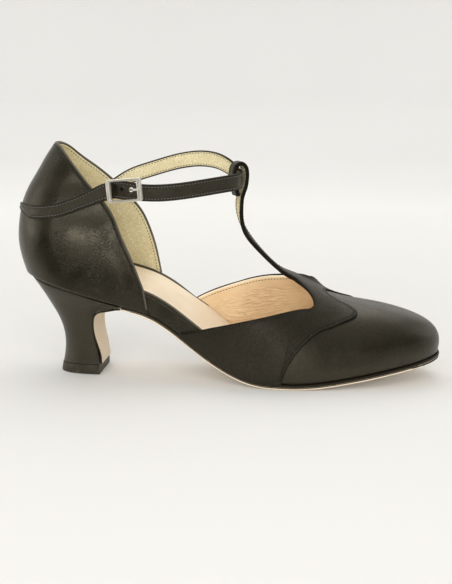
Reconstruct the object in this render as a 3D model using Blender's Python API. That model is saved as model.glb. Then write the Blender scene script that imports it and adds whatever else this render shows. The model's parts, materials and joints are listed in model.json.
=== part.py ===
"""Ballroom dance shoe, right foot: black leather T-strap pump with a flared heel.

Lengths are millimetres in the tables and functions below; placing turns them into metres.
x runs from the heel back to the toe, the outer side of the foot is -y, the floor is z = 0.
"""
import math
import bpy
import bmesh
from mathutils import Vector

MM = 0.001

# Driving dimensions
TOE_END = 239.8          # front of the feather line
HEEL_END = 3.6           # back of the feather line
HEEL_ROUND = 30.0        # x where the heel curve meets the straight sides
TOE_ROUND = 192.0        # x where the toe curve meets the straight sides
GAP = 0.3                # clearance between pieces
MIDSOLE = 1.3
OUTSOLE = 1.1
VAMP_WALL = 1.4
COUNTER_WALL = 1.9
OVERLAY = 0.9
LAY = 0.45               # clearance under the overlay
STRAP = 1.8
TOP_PIECE = 5.4
CENTRE_X = 119.89
CENTRE_Y = -1.669

# Feather line height against x
BED_REAR = ((0, 60.1), (12, 56.9), (30, 51.2), (50, 45.0), (66, 40.9), (76, 37.8), (86, 32.7),
            (97, 25.2), (108, 17.4), (120, 10.3), (132, 5.3), (142, 3.3), (150, 3.0))
BED_FRONT = ((160, 3.0), (170, 3.7), (182, 5.2), (196, 7.4), (212, 10.2), (228, 13.2), (240, 15.6))

# x, outer half width, inner half width
HALF = ((0, 23.6, 23.6), (32, 24.6, 24.2), (60, 23.4, 22.4), (80, 23.4, 20.2), (100, 27.0, 19.8),
        (120, 32.4, 24.6), (140, 37.0, 31.4), (158, 38.8, 36.0), (175, 37.8, 36.6),
        (195, 34.0, 34.4), (215, 30.5, 32.0), (240, 29.5, 31.0))

# Instep ridge height against x
RIDGE = ((90, 124), (128, 85), (140, 70.6), (150, 61.2), (158, 56.2), (166, 52.2), (175, 48.0),
         (185, 44.8), (191, 43.5), (196, 42.6))

# Back curve of the counter: z, x
BACK = ((57, 4.6), (62.3, 2.9), (70, 0.9), (78, 0.0), (88, 0.8), (97, 2.6), (106, 6.2), (116, 12.2),
        (125, 17.6), (132, 22.6))

# Counter half width factor against height over the feather line
SWELL = ((0, 1.0), (14, 1.045), (34, 1.01), (55, 0.87), (74, 0.72), (90, 0.64))

# Counter front edge and top line from front to back: x, z
COUNTER_OUT = ((74.6, 51.0), (70.6, 62.0), (67.0, 71.0), (62.4, 81.2), (57.4, 93.0), (52.0, 100.5),
               (45.0, 108.3), (37.0, 118.2), (30.5, 126.2), (25.5, 130.6), (22.8, 131.6))
COUNTER_IN = ((78.4, 54.5), (77.0, 62.0), (75.2, 70.5), (71.8, 81.5), (67.2, 91.5), (60.0, 100.0),
              (50.5, 109.6), (40.0, 118.0), (31.0, 124.8), (25.6, 129.8), (22.8, 131.6))

# Top line of the vamp wings, feather x and rise along the section
WING_OUT = ((94.5, 0.0), (101, 0.026), (112.5, 0.094), (123.7, 0.168), (134.6, 0.256), (145.4, 0.359),
            (156.1, 0.467), (163.0, 0.53), (167.4, 0.572))
WING_IN = ((90.0, 0.0), (97.0, 0.06), (104.3, 0.12), (118.9, 0.24), (127.7, 0.325), (136.6, 0.43),
           (148.6, 0.575), (158.0, 0.655), (166.0, 0.70))

# Throat corner and T-bar flare, from the wing to the neck
FLARE_OUT = ((168.9, 0.612), (169.1, 0.655), (168.2, 0.713), (165.8, 0.779), (162.8, 0.83),
             (159.6, 0.872), (158.0, 0.889))
FLARE_IN = ((168.4, 0.722), (169.0, 0.748), (168.2, 0.778), (165.8, 0.815), (162.8, 0.848),
            (159.6, 0.876), (158.0, 0.889))

# Scalloped front edge of the overlay, from the sole to the middle: feather x, rise
SCALLOP = ((151.9, 0.0), (155, 0.08), (161.9, 0.209), (167.2, 0.293), (172.7, 0.375), (178.4, 0.428),
           (185.6, 0.498), (192.1, 0.563), (196.2, 0.640), (196.0, 0.722), (193.0, 0.785), (187.1, 0.830),
           (181.8, 0.88), (179.0, 0.93), (177.6, 1.0))

# T-bar and its loop, side view of the mid line: x, z, half width
T_BAR = ((158.0, 56.2, 8.7), (150.2, 59.8, 6.2), (143.5, 65.2, 5.6), (137.3, 71.6, 5.3), (131.8, 78.2, 5.2),
         (128.2, 84.5, 5.1), (126.5, 91.5, 5.1), (126.2, 97.5, 5.1), (126.7, 102.0, 5.1), (127.8, 105.4, 5.1),
         (128.6, 108.6, 5.1), (129.0, 112.0, 5.1), (129.0, 115.2, 5.1), (128.2, 118.0, 5.1),
         (126.1, 119.6, 5.1), (123.7, 118.4, 5.1), (122.6, 115.0, 5.1), (122.5, 111.0, 5.1),
         (123.0, 107.6, 5.1), (123.9, 104.6, 5.1), (124.6, 102.2, 5.1))
T_BAR_LOW = -0.7         # inner face of the T-bar
T_TWIST = 20.0           # degrees that the loop is turned towards the outer side
T_AXIS = 126.2           # x of the line that it turns about
T_LEAN = 10.0            # degrees that the foot of the T-bar is turned about its own middle

# Vamp edges: how far the lower edge is drawn in under, and how far the inner throat edge stands up
TUCK = 1.0
TUCK_HIGH = 8.0
THROAT_LIFT = ((120, 0.0), (130, 0.2), (142, 1.2), (149, 2.0), (155, 3.3), (160, 4.2), (165, 4.4), (169, 3.4),
               (174, 1.2), (180, 0.1), (190, 0.0))

# Ankle strap free part, inner side to outer side: x, y, z
STRAP_PATH = ((58, 22.6, 109.4), (72, 24.2, 114.6), (88, 23.8, 119.2), (102, 20.4, 121.2),
              (111.4, 15.8, 120.4), (118.7, 10.4, 117.6), (123.9, 4.9, 114.0), (125.7, 0.2, 112.4), (127.3, -5.0, 111.0),
              (125.5, -9.4, 110.2), (119.4, -13.4, 109.2), (110.7, -17.0, 107.9), (101, -20.4, 106.5),
              (90.4, -23.0, 105.3), (80, -23.9, 104.9), (72.8, -23.7, 105.3), (66.8, -23.2, 106.0),
              (62.0, -20.2, 106.2), (58.4, -17.3, 106.0), (55.2, -15.8, 105.6))
STRAP_HALF = 4.3
STRAP_FULL = 0.6         # extra half width where the strap fills the buckle

# Strap ends on the counter: x, lower z, upper z, thickness
STRAP_SEAT = ((3.7, 95.0, 97.5, 0.8), (6, 93.6, 97.5, 0.8), (9, 91.7, 97.3, 0.85), (11.6, 90.5, 97.2, 0.9),
              (18, 90.4, 97.2, 1.1), (27, 91.2, 98.4, 1.5), (36, 93.9, 101.2, 1.8), (45, 97.2, 105.2, 1.8),
              (53, 100.0, 109.0, 1.8), (58, 101.1, 110.0, 1.8))

# Heel rings: breast x, breast z, back x, back z, half width, half width at the breast
HEEL = ((47.2, 5.7, 23.8, 5.7, 13.8, 14.4), (46.2, 13, 24.9, 13, 13.3, 13.9),
        (44.4, 20, 24.9, 20.5, 13.3, 13.6), (43.4, 26.5, 23.4, 27.5, 14.0, 14.0),
        (43.6, 31.5, 20.9, 33.6, 15.4, 14.8),
        (44.6, 35.0, 17.9, 39.0, 17.2, 15.8), (47.2, 37.4, 14.5, 44.7, 19.2, 17.4),
        (52.0, 38.6, 10.9, 50.3, 21.4, 19.2), (57.0, 39.7, 7.8, 54.8, 23.0, 21.2))


def spline(rows, col=1):
    """Natural cubic through rows (x, ..., y in column col), straight beyond the ends."""
    xs = [r[0] for r in rows]
    ys = [r[col] for r in rows]
    n = len(xs)
    h = [xs[i + 1] - xs[i] for i in range(n - 1)]
    c = [0.0] * n
    d = [0.0] * n
    m = [0.0] * n
    for i in range(1, n - 1):
        k = 2.0 * (h[i - 1] + h[i]) - h[i - 1] * c[i - 1]
        c[i] = h[i] / k
        r = 6.0 * ((ys[i + 1] - ys[i]) / h[i] - (ys[i] - ys[i - 1]) / h[i - 1])
        d[i] = (r - h[i - 1] * d[i - 1]) / k
    for i in range(n - 2, 0, -1):
        m[i] = d[i] - c[i] * m[i + 1]
    first = (ys[1] - ys[0]) / h[0] - h[0] * (2 * m[0] + m[1]) / 6.0
    last = (ys[-1] - ys[-2]) / h[-1] + h[-1] * (m[-2] + 2 * m[-1]) / 6.0

    def value(x):
        if x <= xs[0]:
            return ys[0] + first * (x - xs[0])
        if x >= xs[-1]:
            return ys[-1] + last * (x - xs[-1])
        i = 0
        while x > xs[i + 1]:
            i += 1
        a = (xs[i + 1] - x) / h[i]
        b = (x - xs[i]) / h[i]
        bend = (a ** 3 - a) * m[i] + (b ** 3 - b) * m[i + 1]
        return a * ys[i] + b * ys[i + 1] + bend * h[i] ** 2 / 6.0
    return value


def path(rows):
    """Smooth curve through rows of any width, called with 0 to 1 along its length."""
    s = [0.0]
    for a, b in zip(rows, rows[1:]):
        s.append(s[-1] + math.dist(a, b))
    cols = [spline([(t, r[k]) for t, r in zip(s, rows)]) for k in range(len(rows[0]))]

    def value(t):
        return tuple(f(t * s[-1]) for f in cols)
    return value


def smooth(a, b, x):
    t = min(1.0, max(0.0, (x - a) / (b - a)))
    return t * t * (3.0 - 2.0 * t)


def mix(a, b, t):
    return tuple(p + (q - p) * t for p, q in zip(a, b))


def steps(a, b, n):
    return [a + (b - a) * i / n for i in range(n + 1)]


bed_rear = spline(BED_REAR)
bed_front = spline(BED_FRONT)
half_out = spline(HALF, 1)
half_in = spline(HALF, 2)
ridge = spline(RIDGE)
back_x = spline(BACK)
swell = spline(SWELL)
throat_lift = spline(THROAT_LIFT)


def bed(x):
    """Height of the feather line, level under the ball of the foot."""
    if x < 150.0:
        return max(bed_rear(x), 3.0)
    if x > 160.0:
        return max(bed_front(x), 3.0)
    return 3.0


def body_half(x, side):
    return half_out(x) if side < 0 else half_in(x)


def half(x, side, grow=0.0):
    """Half width of the feather line with rounded heel and toe, moved out by grow."""
    w = body_half(x, side) + grow
    if x < HEEL_ROUND:
        k = min(1.0, (HEEL_ROUND - x) / (HEEL_ROUND - HEEL_END + grow))
        w *= (1.0 - k ** 2.3) ** (1 / 2.3)
    if x > TOE_ROUND:
        k = min(1.0, (x - TOE_ROUND) / (TOE_END + grow - TOE_ROUND))
        w *= (1.0 - k ** 2.2) ** (1 / 2.2)
    return w


def spine(x):
    """Where the section that starts at feather x meets the ridge; the toe sections share one point."""
    if x <= 158.0:
        return x
    t = min(1.0, (x - 158.0) / 66.0)
    return 158.0 + 34.0 * (1.0 - (1.0 - t) ** (66.0 / 34.0))


def vamp(x, side, v):
    """Outer vamp surface: v runs from the feather line (0) to the ridge (1)."""
    xs = spine(x)
    if v > 0.99999:
        return (xs, 0.0, ridge(xs))
    n = 2.35 + 1.65 * smooth(175.0, 239.0, x)
    c = max(0.0, math.cos(v * math.pi / 2)) ** (2 / n)
    s = max(0.0, math.sin(v * math.pi / 2)) ** (2 / n)
    top = ridge(xs) + (ridge(xs + 0.5) - ridge(xs - 0.5)) * (x - xs) * c
    rise = (top - bed(x)) * s
    drawn = TUCK * smooth(125.0, 150.0, x) * max(0.0, 1.0 - rise / TUCK_HIGH) ** 2
    c *= 1.0 - drawn / math.hypot(x - xs, half(x, side))
    if side > 0 and 120.0 < x < 190.0:
        rise += throat_lift(x) * smooth(0.25, 0.66, v) * (1.0 - smooth(0.76, 0.9, v))
    return (xs + (x - xs) * c, side * half(x, side) * c, bed(x) + rise)


def counter(q, side, z):
    """Outer counter surface: q is 0 at the back seam, 1 where the heel curve ends, then 1 per 40 mm."""
    xb = back_x(z)
    if q < 1.0:
        x = xb + 26.0 * (1.0 - math.cos(q * math.pi / 2) ** (2 / 2.3))
        b = math.sin(q * math.pi / 2) ** (2 / 2.3)
    else:
        x = xb + 26.0 + (q - 1.0) * 40.0
        b = 1.0
    k = 1.0 + (swell(z - bed(x)) - 1.0) * (1.0 - smooth(70.0, 92.0, x))
    return (x, side * body_half(x, side) * k * b, z)


def counter_q(x, z):
    """The counter coordinate of a point seen from the side."""
    d = x - back_x(z)
    if d >= 26.0:
        return 1.0 + (d - 26.0) / 40.0
    c = min(1.0, max(0.0, 1.0 - d / 26.0))
    return math.acos(c ** (2.3 / 2)) / (math.pi / 2)


def sock_rise(x, side):
    """Height of the insole edge over the feather line; the arch side is higher."""
    base = 12.6 - 7.6 * smooth(104.0, 150.0, x)
    arch = 4.4 * smooth(30.0, 60.0, x) * (1.0 - smooth(104.0, 140.0, x))
    return base + (arch if side > 0 else 0.0)


def material(name, colour, roughness, metallic=0.0):
    m = bpy.data.materials.new(name)
    m.use_nodes = True
    p = m.node_tree.nodes["Principled BSDF"]
    p.inputs["Base Color"].default_value = (*colour, 1.0)
    p.inputs["Roughness"].default_value = roughness
    p.inputs["Metallic"].default_value = metallic
    m.diffuse_color = (*colour, 1.0)
    return m


def group(name):
    """Collection of the given name, made at its first use."""
    if name not in bpy.data.collections:
        bpy.context.scene.collection.children.link(bpy.data.collections.new(name))
    return bpy.data.collections[name]


def place(name, bm, mat):
    """Turn a millimetre mesh into a placed object with outward faces."""
    bmesh.ops.recalc_face_normals(bm, faces=bm.faces[:])
    if bm.calc_volume(signed=True) < 0:
        bmesh.ops.reverse_faces(bm, faces=bm.faces[:])
    for v in bm.verts:
        v.co = Vector(((v.co.x - CENTRE_X) * MM, (v.co.y - CENTRE_Y) * MM, v.co.z * MM))
    bmesh.ops.triangulate(bm, faces=[f for f in bm.faces if len(f.verts) > 3])
    mesh = bpy.data.meshes.new(name)
    bm.to_mesh(mesh)
    bm.free()
    mesh.materials.append(mat)
    mesh.shade_smooth()
    mesh.set_sharp_from_angle(angle=math.radians(35.0))
    obj = bpy.data.objects.new(name, mesh)
    group("dance_shoe").objects.link(obj)
    return obj


def sheet(blocks, inside):
    """Closed wall over welded grids of (x, y, z, low, high); low and high are offsets along the normal."""
    bm = bmesh.new()
    seen = {}
    span = []
    for grid in blocks:
        ids = []
        for row in grid:
            line = []
            for p in row:
                key = tuple(round((c + 0.00037) / 0.02) for c in p[:3])
                if key not in seen:
                    seen[key] = bm.verts.new(p[:3])
                    span.append((p[3], p[4]))
                line.append(seen[key])
            ids.append(line)
        for a, b in zip(ids, ids[1:]):
            for i in range(len(a) - 1):
                ring = [a[i], a[i + 1], b[i + 1], b[i]]
                ring = [v for k, v in enumerate(ring) if v not in ring[:k]]
                if len(ring) > 2 and not bm.faces.get(ring):
                    bm.faces.new(ring)
    bmesh.ops.recalc_face_normals(bm, faces=bm.faces[:])
    bm.verts.ensure_lookup_table()
    bm.normal_update()
    ref = Vector(inside)
    turn = 1.0 if sum(v.normal.dot(v.co - ref) for v in bm.verts) > 0 else -1.0
    normals = [v.normal * turn for v in bm.verts]
    faces = [[v.index for v in f.verts] for f in bm.faces]
    rims = [[v.index for v in e.verts] for e in bm.edges if len(e.link_faces) == 1]
    where = [v.co.copy() for v in bm.verts]
    bm.free()
    wall = bmesh.new()
    low = [wall.verts.new(p + n * s[0]) for p, n, s in zip(where, normals, span)]
    high = [wall.verts.new(p + n * s[1]) for p, n, s in zip(where, normals, span)]
    for f in faces:
        wall.faces.new([high[i] for i in f])
        wall.faces.new([low[i] for i in reversed(f)])
    for a, b in rims:
        wall.faces.new([low[a], low[b], high[b], high[a]])
    bmesh.ops.recalc_face_normals(wall, faces=wall.faces[:])
    return wall


def loft(rings, cap=True):
    """Closed solid through rings of equal length."""
    bm = bmesh.new()
    ids = [[bm.verts.new(p) for p in ring] for ring in rings]
    n = len(rings[0])
    for a, b in zip(ids, ids[1:]):
        for i in range(n):
            j = (i + 1) % n
            bm.faces.new([a[i], a[j], b[j], b[i]])
    if cap:
        bm.faces.new(list(reversed(ids[0])))
        bm.faces.new(ids[-1])
    return bm


def with_wall(grid, low, high):
    return [[(*p, low, high) for p in row] for row in grid]


def column(x, side, v0, v1, n):
    """Points of one vamp section from v0 to v1, evenly spaced along the surface."""
    fine = []
    for i in range(61):
        t = i / 60
        v = v0 + (v1 - v0) * (1.0 - (1.0 - t) ** 2)
        fine.append(vamp(x, side, v))
    s = [0.0]
    for a, b in zip(fine, fine[1:]):
        s.append(s[-1] + math.dist(a, b))
    if s[-1] < 1e-6:
        return [fine[0]] * (n + 1)
    out = [fine[0]]
    k = 0
    for i in range(1, n):
        goal = s[-1] * i / n
        while s[k + 1] < goal:
            k += 1
        out.append(mix(fine[k], fine[k + 1], (goal - s[k]) / (s[k + 1] - s[k])))
    out.append(fine[-1])
    return out


def along(rows):
    """Polyline in the (feather x, rise) plane called with its own stations in the first column."""
    def value(t):
        i = 0
        while i < len(rows) - 2 and t > rows[i + 1][0]:
            i += 1
        a = rows[i]
        b = rows[i + 1]
        k = min(1.0, max(0.0, (t - a[0]) / (b[0] - a[0])))
        return mix(a[1:], b[1:], k)
    return value


wing_out = spline(WING_OUT)
wing_in = spline(WING_IN)


def wing_top(x, side):
    return max(0.0, wing_out(x) if side < 0 else wing_in(x))


def vamp_blocks():
    """Toe and wings of the upper; the throat is open behind the first full section."""
    wings = (94.5, 97, 100, 104, 109, 115, 122, 130, 138, 146, 153, 159, 165, 170)
    full = (170, 176, 183, 190, 198, 206, 214, 224, 229, 233, 236, 238.3, 239.4)
    blocks = []
    for side in (-1, 1):
        start = WING_OUT[0][0] if side < 0 else WING_IN[0][0]
        grid = []
        for k, x in enumerate(wings):
            xx = start if k == 0 else x
            grid.append(column(xx, side, 0.0, max(0.0, wing_top(xx, side) - 0.012), 6))
        blocks.append(grid)
    join = [(-1, x) for x in full] + [(1, TOE_END)] + [(1, x) for x in reversed(full)]
    low = []
    high = []
    for k, (side, x) in enumerate(join):
        t = smooth(0, len(join) - 1, k)
        v = (wing_top(170, -1) - 0.012) * (1 - t) + (wing_top(170, 1) - 0.012) * t
        low.append(column(x, side, 0.0, v, 6))
        high.append(column(x, side, v, 1.0, 8))
    return blocks + [low, high]


def counter_grid():
    """Counter from the outer front edge round the heel to the inner front edge."""
    grid = []
    for side, edge in ((-1, COUNTER_OUT), (1, COUNTER_IN)):
        top = path(edge)
        front = edge[0][0] + 2.2
        half_grid = []
        for k in steps(0.0, 1.0, 17):
            t = 1.0 - (1.0 - k) ** 1.45
            q0 = counter_q(front, bed(front)) * (1.0 - t)
            z0 = 58.0
            for _ in range(12):
                z0 = bed(counter(q0, side, z0)[0])
            x1, z1 = top(t)
            q1 = counter_q(x1, z1) if t < 0.999 else 0.0
            rise = steps(0, 1, 8)
            half_grid.append([counter(q0 + (q1 - q0) * r, side, z0 + (z1 - z0) * r) for r in rise])
        if side < 0:
            grid += half_grid
        else:
            grid += list(reversed(half_grid))[1:]
    return grid


def band_grid(side):
    """Low wall along the open waist, from inside the counter to inside the vamp wing."""
    grid = []
    for x in steps(67.0 if side < 0 else 70.0, 116.0 if side < 0 else 108.0, 13):
        rise = sock_rise(x, side) - 0.1
        row = []
        for h in steps(0.05, rise, 3):
            k = 1.0 + (swell(h) - 1.0) * (1.0 - smooth(70.0, 92.0, x))
            row.append((x, side * body_half(x, side) * k, bed(x) + h))
        grid.append(row)
    return grid


def strap_point(x, side, z, d):
    """Point at distance d outside the counter, seen at (x, z) from the side."""
    q = counter_q(x, z)
    p = Vector(counter(q, side, z))
    a = Vector(counter(q + 0.01, side, z)) - Vector(counter(max(0.0, q - 0.01), side, z))
    b = Vector(counter(q, side, z + 0.3)) - Vector(counter(q, side, z - 0.3))
    n = a.cross(b).normalized()
    if n.y * side < 0:
        n = -n
    return tuple(p + n * d)


def turned(x, y, z):
    """Point of the T-bar after its turn towards the outer side, which grows up to the loop."""
    lean = math.radians(T_LEAN) * smooth(56.0, 62.0, z) * (1.0 - smooth(64.0, 82.0, z))
    x -= y * math.sin(lean)
    a = math.radians(T_TWIST) * smooth(76.0, 98.0, z)
    d = x - T_AXIS
    return (T_AXIS + d * math.cos(a) - y * math.sin(a), d * math.sin(a) + y * math.cos(a), z)


def overlay_blocks():
    """Scalloped vamp overlay, both wings, with the T-bar and its loop in one piece."""
    blocks = []
    neck = [0.889, 0.926, 0.963, 1.0]
    for side, wing, flare in ((-1, WING_OUT, FLARE_OUT), (1, WING_IN, FLARE_IN)):
        rows = []
        for i, r in enumerate(wing):
            rows.append((0.56 * i / (len(wing) - 1), *r))
        for i, r in enumerate(flare):
            rows.append((0.60 + 0.26 * i / (len(flare) - 1), *r))
        for i, v in enumerate(neck[1:]):
            rows.append((0.86 + 0.14 * (i + 1) / 3, 158.0, v))
        inner = along(rows)
        outer_rows = [(0.0, wing[0][0], 0.0), (0.45, SCALLOP[0][0], 0.0)]
        for i, r in enumerate(SCALLOP[1:]):
            outer_rows.append((0.45 + 0.55 * (i + 1) / (len(SCALLOP) - 1), *r))
        outer = along(outer_rows)
        stations = steps(0.0, 0.56, 14) + steps(0.60, 0.86, 12) + steps(0.86, 1.0, 3)[1:]
        grid = []
        for t in stations:
            a = inner(t)
            b = outer(t)
            row = []
            for r in steps(0.0, 1.0, 7):
                x, v = mix(a, b, r)
                p = vamp(x, side, v)
                low = LAY + (T_BAR_LOW - LAY) * (1.0 - smooth(158.0, 167.0, p[0])) * smooth(0.62, 0.72, v)
                row.append((*p, low, LAY + OVERLAY))
            grid.append(row)
        blocks.append(grid)
    bar = path(T_BAR)
    first = [vamp(158.0, -1, v) for v in neck] + [vamp(158.0, 1, v) for v in reversed(neck[:-1])]
    wide = abs(first[0][1])
    grid = [[(*p, T_BAR_LOW, LAY + OVERLAY) for p in first]]
    for t in steps(0.0, 1.0, 48)[1:]:
        x, z, w = bar(t)
        x2, z2, _ = bar(min(1.0, t + 0.004))
        x1, z1, _ = bar(t - 0.004)
        d = math.hypot(x2 - x1, z2 - z1)
        row = []
        for p in first:
            y = p[1] / wide * w
            drop = 0.5 * (y / w) ** 2 * (1.0 - smooth(0.5, 0.7, t))
            p = turned(x - (z2 - z1) / d * drop, y, z + (x2 - x1) / d * drop)
            row.append((*p, T_BAR_LOW, LAY + OVERLAY))
        grid.append(row)
    return blocks + [grid]


def seat_edges(side, count):
    """Lower and upper edge of a strap end that lies on the counter: x, y, z, half thickness."""
    low = []
    high = []
    for x, z0, z1, thick in STRAP_SEAT[:count]:
        low.append((*strap_point(x, side, z0, GAP + thick / 2), thick / 2))
        high.append((*strap_point(x, side, z1, GAP + thick / 2), thick / 2))
    return low, high


def strap_grid(low_rows, high_rows, n):
    low = path(low_rows)
    high = path(high_rows)
    grid = []
    for t in steps(0, 1, n):
        row = [mix(low(t), high(t), r) for r in steps(0, 1, 3)]
        grid.append([(x, y, z, -h, h) for x, y, z, h in row])
    return grid


def ankle_strap():
    """Strap from the inner counter through the T-bar loop to the buckle on the outer side."""
    low, high = seat_edges(1, len(STRAP_SEAT) - 2)
    for x, y, z in STRAP_PATH:
        wide = STRAP_HALF + (STRAP_FULL * math.exp(-((x - 64.5) / 6.0) ** 2) if y < 0 else 0.0)
        low.append((x, y, z - wide, STRAP / 2))
        high.append((x, y, z + wide, STRAP / 2))
    return strap_grid(low, high, 84)


def buckle_strap():
    """Strap that carries the buckle, laid on the outer counter."""
    low, high = seat_edges(-1, len(STRAP_SEAT))
    return strap_grid(low, high, 26)


def waist_tuck(x):
    """How far the sole edge stands out (+) or in (-) from the feather line."""
    return -0.3 - 1.0 * (1.0 - smooth(104.0, 132.0, x))


def under(x, d):
    """Height of a layer that lies d below the gap under the feather line, square to its slope."""
    slope = (bed(x + 0.5) - bed(x - 0.5))
    return bed(x) - GAP - d * math.hypot(1.0, slope)


def sole_grid(stations, level, grow):
    """Flat-across layer between both sole edges; stations are x, level gives z."""
    grid = []
    for x in stations:
        a = -half(x, -1, grow(x))
        b = half(x, 1, grow(x))
        grid.append([(x, a + (b - a) * r, level(x)) for r in steps(0, 1, 6)])
    return grid


def toe_stations(start, end, grow):
    front = TOE_END + grow
    body = steps(start, 196.0, 26)
    nose = [196.0 + (front - 196.0) * math.sin(a) for a in steps(0.0, math.pi / 2, 12)][1:]
    return body[:-1] + [x for x in [196.0] + nose if x <= end]


def midsole():
    xs = sorted(set([62.4] + toe_stations(68.0, 300.0, -0.3) + [146.0, 150.0, 160.0, 164.0]))
    grid = sole_grid(xs, lambda x: under(x, 0.0), waist_tuck)
    return sheet([with_wall(grid, -MIDSOLE, 0.0)], (140, 0, -400))


def outsole():
    """Suede layer under the midsole that runs on down the breast of the heel."""
    drop = GAP + MIDSOLE
    flap = []
    for bx, bz, _, _, _, w in HEEL:
        flap.append((bx, bz, w - 1.6))
    flap[0] = (flap[0][0], TOP_PIECE + 0.5, flap[0][2])
    line = path([(x, z) for x, z, _ in flap] + [(62.0, under(62.0, drop) + 0.1), (68.0, under(68.0, drop))])
    width = path([(w,) for _, _, w in flap] + [(half(62.0, -1) - 1.6,), (half(68.0, -1) - 1.3,)])
    rows = []
    for t in steps(0.0, 1.0, 30)[:-1]:
        x, z = line(t)
        x2, z2 = line(t + 0.01)
        x1, z1 = line(t - 0.01)
        d = math.hypot(x2 - x1, z2 - z1)
        w = min(width(t)[0], half(x, 1) - 1.3) if z > 38.0 else width(t)[0]
        low = (x + (z2 - z1) / d * GAP, z - (x2 - x1) / d * GAP)
        rows.append([(low[0], -w + 2 * w * r, low[1]) for r in steps(0, 1, 6)])
    xs = sorted(set(toe_stations(68.0, 300.0, -0.5) + [146.0, 150.0, 160.0, 164.0]))
    rows += sole_grid(xs, lambda x: under(x, drop), lambda x: waist_tuck(x) - 0.2)
    return sheet([with_wall(rows, -OUTSOLE, 0.0)], (140, 0, -400))


def ring_outline(bx, bz, kx, kz, w, wb, n=28):
    """Level outline of the heel: rounded back, straight breast."""
    pts = []
    for i in range(n + 1):
        a = -math.pi / 2 + math.pi * i / n
        c = abs(math.cos(a)) ** (2 / 2.5)
        s = math.copysign(abs(math.sin(a)) ** (2 / 2.5), math.sin(a))
        x = bx - (bx - kx) * c
        y = s * (wb + (w - wb) * c ** 0.5)
        pts.append((x, y, bz + (kz - bz) * c))
    for r in steps(0, 1, 6)[1:-1]:
        pts.append((bx, wb - 2 * wb * r, bz))
    return pts


def heel():
    rings = [ring_outline(*row) for row in HEEL]
    top = []
    for x, y, _ in ring_outline(61.6, 0, HEEL_END + 1.2, 0, 23.6, 22.6):
        side = -1 if y < 0 else 1
        edge = min(abs(y), max(0.0, half(x, side) - 0.5))
        top.append((x, side * edge, bed(x) - GAP))
    rings.append(top)
    bm = bmesh.new()
    ids = [[bm.verts.new(p) for p in ring] for ring in rings]
    n = len(rings[0])
    for a, b in zip(ids, ids[1:]):
        for i in range(n):
            j = (i + 1) % n
            bm.faces.new([a[i], a[j], b[j], b[i]])
    bm.faces.new(list(reversed(ids[0])))
    last = ids[-1]
    arc = 29
    pair = list(zip(last[:15], reversed(last[14:arc])))
    spine_pts = []
    for a, b in pair[:-1]:
        x = (a.co.x + b.co.x) / 2
        spine_pts.append(bm.verts.new((x, 0.0, bed(x) - GAP)))
    for i in range(len(spine_pts) - 1):
        bm.faces.new([pair[i][0], pair[i + 1][0], spine_pts[i + 1], spine_pts[i]])
        bm.faces.new([pair[i + 1][1], pair[i][1], spine_pts[i], spine_pts[i + 1]])
    tip = pair[-1][0]
    bm.faces.new([pair[-2][0], tip, spine_pts[-1]])
    bm.faces.new([tip, pair[-2][1], spine_pts[-1]])
    front = [pair[0][1]] + last[arc:] + [pair[0][0]]
    for a, b in zip(front, front[1:]):
        bm.faces.new([a, b, spine_pts[0]])
    return bm


def top_piece():
    rows = ((47.3, 0.0, 22.6, 0.0, 14.3, 14.8), (47.3, 4.6, 23.3, 4.6, 14.1, 14.6),
            (47.1, TOP_PIECE, 23.7, TOP_PIECE, 13.8, 14.4))
    return loft([ring_outline(*r) for r in rows])


def insole():
    """Padded footbed between the walls, from the heel to the toe."""
    inset = -(COUNTER_WALL + 1.2)
    nose = [196.0 + (TOE_END + inset - 196.0) * math.sin(a) for a in steps(0.0, 1.48, 10)][1:]
    tail = [30.0 - (30.0 - HEEL_END + inset) * math.sin(a) for a in steps(1.48, 0.0, 10)]
    xs = tail[:-1] + steps(30.0, 196.0, 26) + nose
    rings = []
    for x in xs:
        a = half(x, -1, inset)
        b = half(x, 1, inset)
        ring = []
        for r in steps(0, 1, 6):
            ring.append((x, -a + (a + b) * r, bed(x)))
        for r in steps(1, 0, 6):
            z = bed(x) + sock_rise(x, -1) + (sock_rise(x, 1) - sock_rise(x, -1)) * r
            ring.append((x, -a + (a + b) * r, z - 0.25 - 1.2 * (4 * r * (1 - r))))
        rings.append(ring)
    return loft(rings)


BUCKLE = {"centre": Vector((65.4, -25.0, 106.3)), "yaw": math.radians(-8.0), "roll": math.radians(-5.6),
          "length": 20.4, "height": 12.8, "end_bar": 2.8, "side_bar": 1.35, "depth": 1.7, "corner": 1.6}


def buckle_point(u, w, d):
    """Buckle coordinates: u along the strap, w up, d outward."""
    r = BUCKLE["roll"]
    a = u * math.cos(r) + w * math.sin(r)
    c = -u * math.sin(r) + w * math.cos(r)
    y = BUCKLE["yaw"]
    east = a * math.cos(y) + d * math.sin(y)
    return BUCKLE["centre"] + Vector((east, a * math.sin(y) - d * math.cos(y), c))


def rounded(length, height, corner, n=4):
    pts = []
    for k, (sx, sy) in enumerate(((1, 1), (-1, 1), (-1, -1), (1, -1))):
        for i in range(n + 1):
            a = math.pi / 2 * (k + i / n)
            pts.append((sx * (length / 2 - corner) + corner * math.cos(a),
                        sy * (height / 2 - corner) + corner * math.sin(a)))
    return pts


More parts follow.
